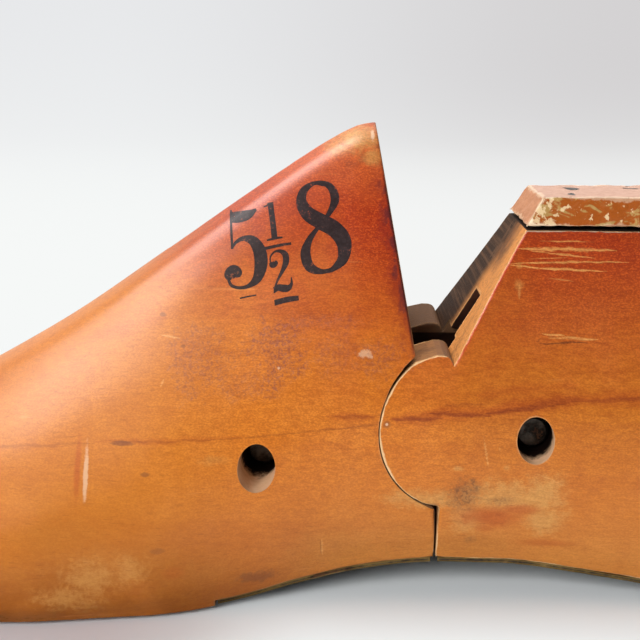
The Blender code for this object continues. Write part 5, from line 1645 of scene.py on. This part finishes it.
def lay_on_wood(solids, wood, spacing=0.45):
    """Slices the solids finely and drops them on the wood as one mesh."""
    bm = bmesh.new()
    for solid in solids:
        bm.from_mesh(solid.data)
        bpy.data.objects.remove(solid, do_unlink=True)
    points = np.array([vertex.co for vertex in bm.verts])
    for axis in (0, 2):
        normal = Vector((1, 0, 0)) if axis == 0 else Vector((0, 0, 1))
        for at in np.arange(points[:, axis].min() + spacing / 3, points[:, axis].max(), spacing):
            geometry = bm.verts[:] + bm.edges[:] + bm.faces[:]
            bmesh.ops.bisect_plane(bm, geom=geometry, dist=1e-5, plane_co=normal * at, plane_no=normal)
    bmesh.ops.triangulate(bm, faces=bm.faces[:])
    tree = BVHTree.FromObject(wood, bpy.context.evaluated_depsgraph_get())
    for vertex in bm.verts:
        x, z = vertex.co.x / 1000, vertex.co.z / 1000
        place, normal, _, _ = tree.ray_cast(Vector((x, -0.1, z)), Vector((0, 1, 0)))
        vertex.co = place + normal * (INK_PROUD if vertex.co.y < 0 else -INK_DEPTH)
    layer = bm.verts.layers.float.new("edge_distance")
    for vertex in bm.verts:
        vertex[layer] = 0.01
    made = object_from("stamped_size", bm)
    soft_shading(made, 50)
    return made


marks = [mark_solid(f"mark_{count}", NUMERALS.get(kind, BARS), origin, wide, tall)
         for count, (kind, origin, wide, tall) in enumerate(STAMPS)]
stamped = lay_on_wood(marks, forepart)
stamped.data.materials.append(ink)
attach(stamped, "forepart")
print("ink triangles:", len(stamped.data.polygons))

# %% [markdown]
# The leather lift
#
# The lift is cut to the heel's own outline, so it comes from the same loft, sliced between two levels and
# along the V face. Its edges are chipped harder than the wood's, and its walls are a little uneven.

# %% The leather lift
CAP_OVERHANG = 0.0005


def roughen(made, amount, scale, seed):
    """Draws the points in along their normals by a slow noise."""
    mesh = made.data
    normals = [vertex.normal.copy() for vertex in mesh.vertices]
    for vertex, normal in zip(mesh.vertices, normals):
        push = noise.noise(vertex.co * scale + Vector((seed, 0, 0)))
        vertex.co -= normal * amount * max(push + 0.25, 0)
    mesh.update()


def cut_cap():
    """The lift of leather, with a round hole for the jack's tube."""
    made = heel_shell("leather_lift")
    made.data.materials.append(leather)
    back = LAST_LENGTH / 2
    outline = [(v_face_x(cap_low.z) - CAP_OVERHANG, cap_low.z), (back, cap_low.z), (back, cap_high.z),
               (v_face_x(cap_high.z) - CAP_OVERHANG, cap_high.z)]
    cut(made, [(prism("slice", outline, -WIDE, WIDE), leather)], "INTERSECT")
    hole = upright_rod("hole", (tube.x, tube.y), TUBE_RADIUS + GAP, TOP_HEIGHT - GAP, CEILING)
    cut(made, [(hole, leather)])
    wear_edges(made, 0.0006, 0.00026, 0.25, math.radians(32), 0.0032)
    roughen(made, 0.00022, 420, 3.0)
    return keep_inside(made, "top_cap")


lift = cut_cap()
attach(lift, "heel")
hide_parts("top_cap")
print("lift triangles:", triangles(lift))

# %% [markdown]
# The plates
#
# Each plate is a ribbon of iron that follows the sole between its packed ends. Its rim is filed, and
# catches the light as a thin brassy line under the shank.

# %% The iron plates
def bend_plate(name, node, body):
    """A thin plate that follows the sole."""
    shares = plate_shares(node, 60)
    made = loft(name, [plate_ring(share, 0, PLATE_THICKNESS, 0) for share in shares])
    made.data.materials.append(plate_iron)
    wear_edges(made, 0.00022, 0.0005, 0.6, math.radians(40), 0.0012)
    keep_inside(made, node)
    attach(made, body)
    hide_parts(node)
    print(name, "triangles:", triangles(made))
    return made


shank_plate = bend_plate("shank_plate", "forepart_sole_plate", "forepart")
heel_plate = bend_plate("heel_plate", "heel_sole_plate", "heel")

# %% [markdown]
# Round steel
#
# A pin, a tube or a nail is a profile turned round an axis. One helper turns a closed loop of radii and
# heights and closes it at the poles, and another lays the result across the last.

# %% Turned pieces
def turned(name, profile, sides, finish_material):
    """Turns a line of radii and heights; a radius of zero is a closed pole."""
    bm = bmesh.new()
    rows = []
    for radius, height in profile:
        if radius < 1e-9:
            rows.append([bm.verts.new((0, 0, height))])
            continue
        angles = [2 * math.pi * (i + 1 / 2) / sides for i in range(sides)]
        rows.append([bm.verts.new((radius * math.cos(a), radius * math.sin(a), height)) for a in angles])
    for low_row, high_row in zip(rows, rows[1:]):
        for i in range(sides):
            j = (i + 1) % sides
            corners = [low_row[i % len(low_row)], low_row[j % len(low_row)],
                       high_row[j % len(high_row)], high_row[i % len(high_row)]]
            bm.faces.new(list(dict.fromkeys(corners)))
    made = object_from(name, bm)
    made.data.materials.append(finish_material)
    soft_shading(made, 35)
    return made


def cross_pin(name, node, body):
    """A steel pin across the last, with small filed ends."""
    low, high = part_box(node)
    middle_of = (low + high) / 2
    radius, half = (high.x - low.x) / 2 * 0.9995, (high.y - low.y) / 2
    profile = [(0, -half), (radius * 0.5, -half), (radius - 0.0005, -half + 0.00005),
               (radius, -half + 0.0005), (radius, 0), (radius, half - 0.0005),
               (radius - 0.0005, half - 0.00005), (radius * 0.5, half), (0, half)]
    made = turned(name, profile, 56, pin_steel)
    made.data.transform(Matrix.Translation(middle_of) @ Matrix.Rotation(math.pi / 2, 4, "X"))
    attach(made, body)
    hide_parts(node)
    return made


def jack_tube():
    """The tube with a closed foot and a softly rounded lip."""
    low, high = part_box("jack_thimble")
    wall, lip = 0.0011, 0.0003
    bore = TUBE_RADIUS - wall
    profile = [(0, low.z), (TUBE_RADIUS - lip, low.z), (TUBE_RADIUS, low.z + lip),
               (TUBE_RADIUS, high.z - lip), (TUBE_RADIUS - lip, high.z), (bore + lip, high.z),
               (bore, high.z - lip), (bore, low.z + wall), (bore * 0.5, low.z + wall), (0, low.z + wall)]
    made = turned("jack_tube", profile, 72, tube_steel)
    made.data.transform(Matrix.Translation((tube.x, tube.y, 0)))
    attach(made, "heel")
    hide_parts("jack_thimble")
    return made


pins = [cross_pin("front_cross_pin", "front_pin", "forepart"),
        cross_pin("rear_cross_pin", "rear_pin", "heel")]
socket_tube = jack_tube()
print("turned pieces:", [made.name for made in pins + [socket_tube]])

# %% [markdown]
# The nails
#
# The same nail is used eighteen times, so Geometry Nodes set it out: the places are loose points, and the
# tree puts a nail on each, turned by a value that each point carries. A nail is three cones that share
# their rims and a flat head, merged into one closed skin.

# %% The nail tree
def nail_tree():
    tree = bpy.data.node_groups.new("set_nails", "GeometryNodeTree")
    sockets = tree.interface
    sockets.new_socket("Places", in_out="INPUT", socket_type="NodeSocketGeometry")
    sizes = {"Head radius": 0.0019, "Head depth": 0.0009, "Shank radius": 0.0009, "Length": 0.01,
             "Turn": 0.0}
    for name, value in sizes.items():
        sockets.new_socket(name, in_out="INPUT", socket_type="NodeSocketFloat").default_value = value
    sockets.new_socket("Seed", in_out="INPUT", socket_type="NodeSocketInt").default_value = 7
    sockets.new_socket("Finish", in_out="INPUT", socket_type="NodeSocketMaterial")
    sockets.new_socket("Nails", in_out="OUTPUT", socket_type="NodeSocketGeometry")
    wires = Wiring(tree)
    given = tree.nodes.new("NodeGroupInput").outputs

    def cone(low_radius, high_radius, depth, lift):
        made = wires.add("GeometryNodeMeshCone",
                         {"Vertices": 24, "Radius Bottom": low_radius, "Radius Top": high_radius,
                          "Depth": depth}, fill_type="NONE")
        offset = wires.add("ShaderNodeCombineXYZ", {"Z": lift}).outputs[0]
        return wires.add("GeometryNodeTransform", {"Geometry": made.outputs["Mesh"],
                                                   "Translation": offset}).outputs["Geometry"]

    point = given["Shank radius"]
    straight = wires.minus(wires.minus(given["Length"], given["Head depth"]), point)
    head = cone(given["Head radius"], point, given["Head depth"], 0.0)
    shank = cone(point, point, straight, given["Head depth"])
    tip = cone(point, 0.0, point, wires.minus(given["Length"], point))
    disc = wires.add("GeometryNodeMeshCircle", {"Vertices": 24, "Radius": given["Head radius"]},
                     fill_type="NGON")
    face = wires.add("GeometryNodeFlipFaces", {"Mesh": disc.outputs["Mesh"]}).outputs["Mesh"]
    joined = wires.add("GeometryNodeJoinGeometry")
    for part in (head, shank, tip, face):
        wires.join(part, joined.inputs["Geometry"])
    nail = wires.add("GeometryNodeMergeByDistance", {"Geometry": joined.outputs[0], "Distance": 0.00002})
    spin = wires.add("FunctionNodeRandomValue", {"Min": 0.0, "Max": 6.28, "Seed": given["Seed"]},
                     data_type="FLOAT")
    turn = wires.add("ShaderNodeCombineXYZ", {"X": given["Turn"], "Z": spin.outputs[1]}).outputs[0]
    placed = wires.add("GeometryNodeInstanceOnPoints",
                       {"Points": given["Places"], "Instance": nail.outputs[0], "Rotation": turn})
    real = wires.add("GeometryNodeRealizeInstances", {"Geometry": placed.outputs["Instances"]})
    dressed = wires.add("GeometryNodeSetMaterial", {"Geometry": real.outputs["Geometry"],
                                                    "Material": given["Finish"]})
    wires.join(dressed.outputs["Geometry"], tree.nodes.new("NodeGroupOutput").inputs["Nails"])
    return tree


nails_on = nail_tree()
nail_sockets = [item for item in nails_on.interface.items_tree if item.in_out == "INPUT"]
nail_inputs = {item.name: item.identifier for item in nail_sockets}
print("inputs of the nail tree:", list(nail_inputs))

# %% Driving the nails
def drive(name, nodes, upwards):
    """Nails at the packed nails' places, all with their heads down or all with their heads up."""
    boxes = [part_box(node) for node in nodes]
    places = [((a.x + b.x) / 2, (a.y + b.y) / 2, a.z if upwards else b.z) for a, b in boxes]
    mesh = bpy.data.meshes.new(name)
    mesh.from_pydata(places, [], [])
    made = bpy.data.objects.new(name, mesh)
    bpy.context.collection.objects.link(made)
    modifier = made.modifiers.new("nails", "NODES")
    modifier.node_group = nails_on
    modifier[nail_inputs["Length"]] = boxes[0][1].z - boxes[0][0].z
    modifier[nail_inputs["Turn"]] = 0.0 if upwards else math.pi
    modifier[nail_inputs["Finish"]] = nail_iron
    settled(made)
    bm = bmesh.new()
    bm.from_mesh(made.data)
    bmesh.ops.recalc_face_normals(bm, faces=bm.faces)
    bm.to_mesh(made.data)
    bm.free()
    soft_shading(made, 35)
    return made


def merged(name, pieces):
    """One mesh of several."""
    bm = bmesh.new()
    for piece in pieces:
        bm.from_mesh(piece.data)
    made = object_from(name, bm)
    made.data.materials.append(nail_iron)
    for piece in pieces:
        bpy.data.objects.remove(piece, do_unlink=True)
    soft_shading(made, 35)
    return made


shank_nodes = [f"shank_plate_nail_{n}" for n in range(1, 5)]
plate_nodes = [f"heel_plate_nail_{n}" for n in range(1, 8)]
cap_nodes = [f"cap_nail_{n}" for n in range(1, 8)]
shank_nails = drive("shank_nails", shank_nodes, True)
heel_nails = merged("heel_nails", [drive("up", plate_nodes, True), drive("down", cap_nodes, False)])
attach(shank_nails, "forepart")
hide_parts(*shank_nodes)
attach(heel_nails, "heel")
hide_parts(*plate_nodes, *cap_nodes)
for made in (shank_nails, heel_nails):
    print(made.name, "triangles:", triangles(made))

# %% [markdown]
# The link
#
# Inside the mortise a bent strap, a saddle and a spring pull the two halves together. They are hidden,
# but the last comes apart in the hands of whoever opens it, so they are finished too. All three are drawn
# on the link's own line, from the front pin to the rear pin, and laid in place at the end.

# %% The strap and the saddle
STRAP_THICKNESS, STRAP_HEIGHT = 0.0015, 0.0116
SPRING_DIAMETER, SPRING_WIRE, SPRING_LENGTH, SPRING_CURLS = 0.0076, 0.0011, 0.01, 4.5
RUNNING_GAP, SLOT_TRAVEL, SADDLE_LENGTH, SADDLE_HEIGHT = 0.0006, 0.0009, 0.0052, 0.009
SADDLE_WRAP = math.radians(50)
MORTISE_MIDDLE = sum(MORTISE) / 2
link_reach = math.hypot(rear_pin.x - front_pin.x, rear_pin.z - front_pin.z)
on_link = (Matrix.Translation((front_pin.x, 0, front_pin.z)) @ Matrix.Rotation(-link_line, 4, "Y"))
strap_half = SPRING_DIAMETER / 2 + RUNNING_GAP
bridge_x = link_reach + SADDLE_LENGTH + 2 * GAP + SPRING_LENGTH


def dress_link(made, node, radius):
    """Lays a link piece in place and gives it its finish."""
    made.data.transform(on_link)
    made.data.materials.clear()
    made.data.materials.append(link_steel)
    for face in made.data.polygons:
        face.material_index = 0
    if radius:
        wear_edges(made, radius, 0.0004, 0.7, math.radians(40), 0.0012)
    keep_inside(made, node)
    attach(made, "link")
    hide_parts(node)
    print(made.name, "triangles:", triangles(made))
    return made


def bent_strap():
    """A strip bent to a U, with round eyes for the front pin and slots for the rear pin."""
    outer, end, front, corner = strap_half + STRAP_THICKNESS, bridge_x + STRAP_THICKNESS, -0.011, 0.0025
    inner_corner = corner - STRAP_THICKNESS
    turns = [math.pi / 2 * i / 10 for i in range(11)]
    bend = [(end - corner + corner * math.sin(a), outer - corner + corner * math.cos(a)) for a in turns]
    inside = [(bridge_x - inner_corner + inner_corner * math.sin(a),
               strap_half - inner_corner + inner_corner * math.cos(a)) for a in turns]
    plan = [(front, outer)] + bend + [(x, -y) for x, y in reversed(bend)] + [(front, -outer)]
    plan += [(front, -strap_half)] + [(x, -y) for x,
                                      y in inside] + list(reversed(inside)) + [(front, strap_half)]
    bm = bmesh.new()
    rows = [[bm.verts.new((x, y + MORTISE_MIDDLE, z)) for x,
             y in plan] for z in (-STRAP_HEIGHT, STRAP_HEIGHT)]
    for i in range(len(plan)):
        j = (i + 1) % len(plan)
        bm.faces.new([rows[0][i], rows[0][j], rows[1][j], rows[1][i]])
    bm.faces.new(rows[0])
    bm.faces.new(rows[1])
    made = object_from("bent_strap", bm)
    reach = (MORTISE_MIDDLE - outer - 0.005, MORTISE_MIDDLE + outer + 0.005)
    eye, hole = STRAP_HEIGHT / 2, PIN_RADIUS + GAP
    half_round = [math.pi / 2 + math.pi * i / 36 for i in range(37)]
    side = [(eye * math.cos(a),
             eye * math.sin(a)) for a in half_round] + [(end + 0.005, -eye), (end + 0.005, eye)]
    slot = []
    for shift, first in ((SLOT_TRAVEL, -math.pi / 2), (-SLOT_TRAVEL, math.pi / 2)):
        slot += [(link_reach + shift + hole * math.cos(first + math.pi * i / 24),
                  hole * math.sin(first + math.pi * i / 24)) for i in range(25)]
    cut(made, [(prism("side", side, *reach), link_steel)], "INTERSECT")
    cut(made,
        [(cross_rod("eye", (0, 0), hole, *reach, 56), link_steel),
         (prism("slot", slot, *reach), link_steel)])
    return dress_link(made, "link_strap", 0.00018)


def saddle_block():
    """A block hollowed to sit behind the rear pin."""
    radius = PIN_RADIUS + RUNNING_GAP
    angles = [SADDLE_WRAP * (i / 12 - 1) for i in range(25)]
    hollow = [(link_reach + radius * math.cos(a), radius * math.sin(a)) for a in angles]
    nose, back = link_reach + radius * math.cos(SADDLE_WRAP), link_reach + SADDLE_LENGTH
    half = SADDLE_HEIGHT / 2
    width = 2 * strap_half - 2 * GAP
    made = prism("saddle_block", hollow + [(nose, half), (back, half), (back, -half), (nose, -half)],
                 MORTISE_MIDDLE - width / 2, MORTISE_MIDDLE + width / 2)
    return dress_link(made, "spring_saddle", 0.0002)


strap, saddle = bent_strap(), saddle_block()

# %% The spring
def coiled_spring(points_a_curl=24, sides=12):
    """A round wire on one even helix, with closed ends."""
    first = link_reach + SADDLE_LENGTH + GAP + SPRING_WIRE / 2
    length = SPRING_LENGTH - SPRING_WIRE
    radius = (SPRING_DIAMETER - SPRING_WIRE) / 2
    count = int(SPRING_CURLS * points_a_curl)
    bm = bmesh.new()
    rings = []
    for i in range(count + 1):
        angle = 2 * math.pi * SPRING_CURLS * i / count
        out = Vector((0, math.cos(angle), math.sin(angle)))
        run = Vector((length / (2 * math.pi * SPRING_CURLS), -radius * math.sin(angle),
                      radius * math.cos(angle))).normalized()
        across = run.cross(out)
        middle_of = Vector((first + length * i / count, MORTISE_MIDDLE, 0)) + out * radius
        ring = [middle_of + (out * math.cos(a) + across * math.sin(a)) * SPRING_WIRE / 2
                for a in [2 * math.pi * k / sides for k in range(sides)]]
        rings.append([bm.verts.new(point) for point in ring])
    for one, two in zip(rings, rings[1:]):
        for k in range(sides):
            j = (k + 1) % sides
            bm.faces.new([one[k], one[j], two[j], two[k]])
    bm.faces.new(rings[0])
    bm.faces.new(rings[-1])
    made = object_from("coiled_spring", bm)
    dress_link(made, "link_spring", 0)
    made.data.shade_smooth()
    return made


spring = coiled_spring()

# %% [markdown]
# The dressed last has to stay within the packed one's box, because whoever places it on a shelf or in a hand
# relies on its size. Most pieces were held within their packed nodes' boxes as they were made; at the end
# the scene is only brought up to date.

# %% Bringing the scene up to date
bpy.context.view_layer.update()
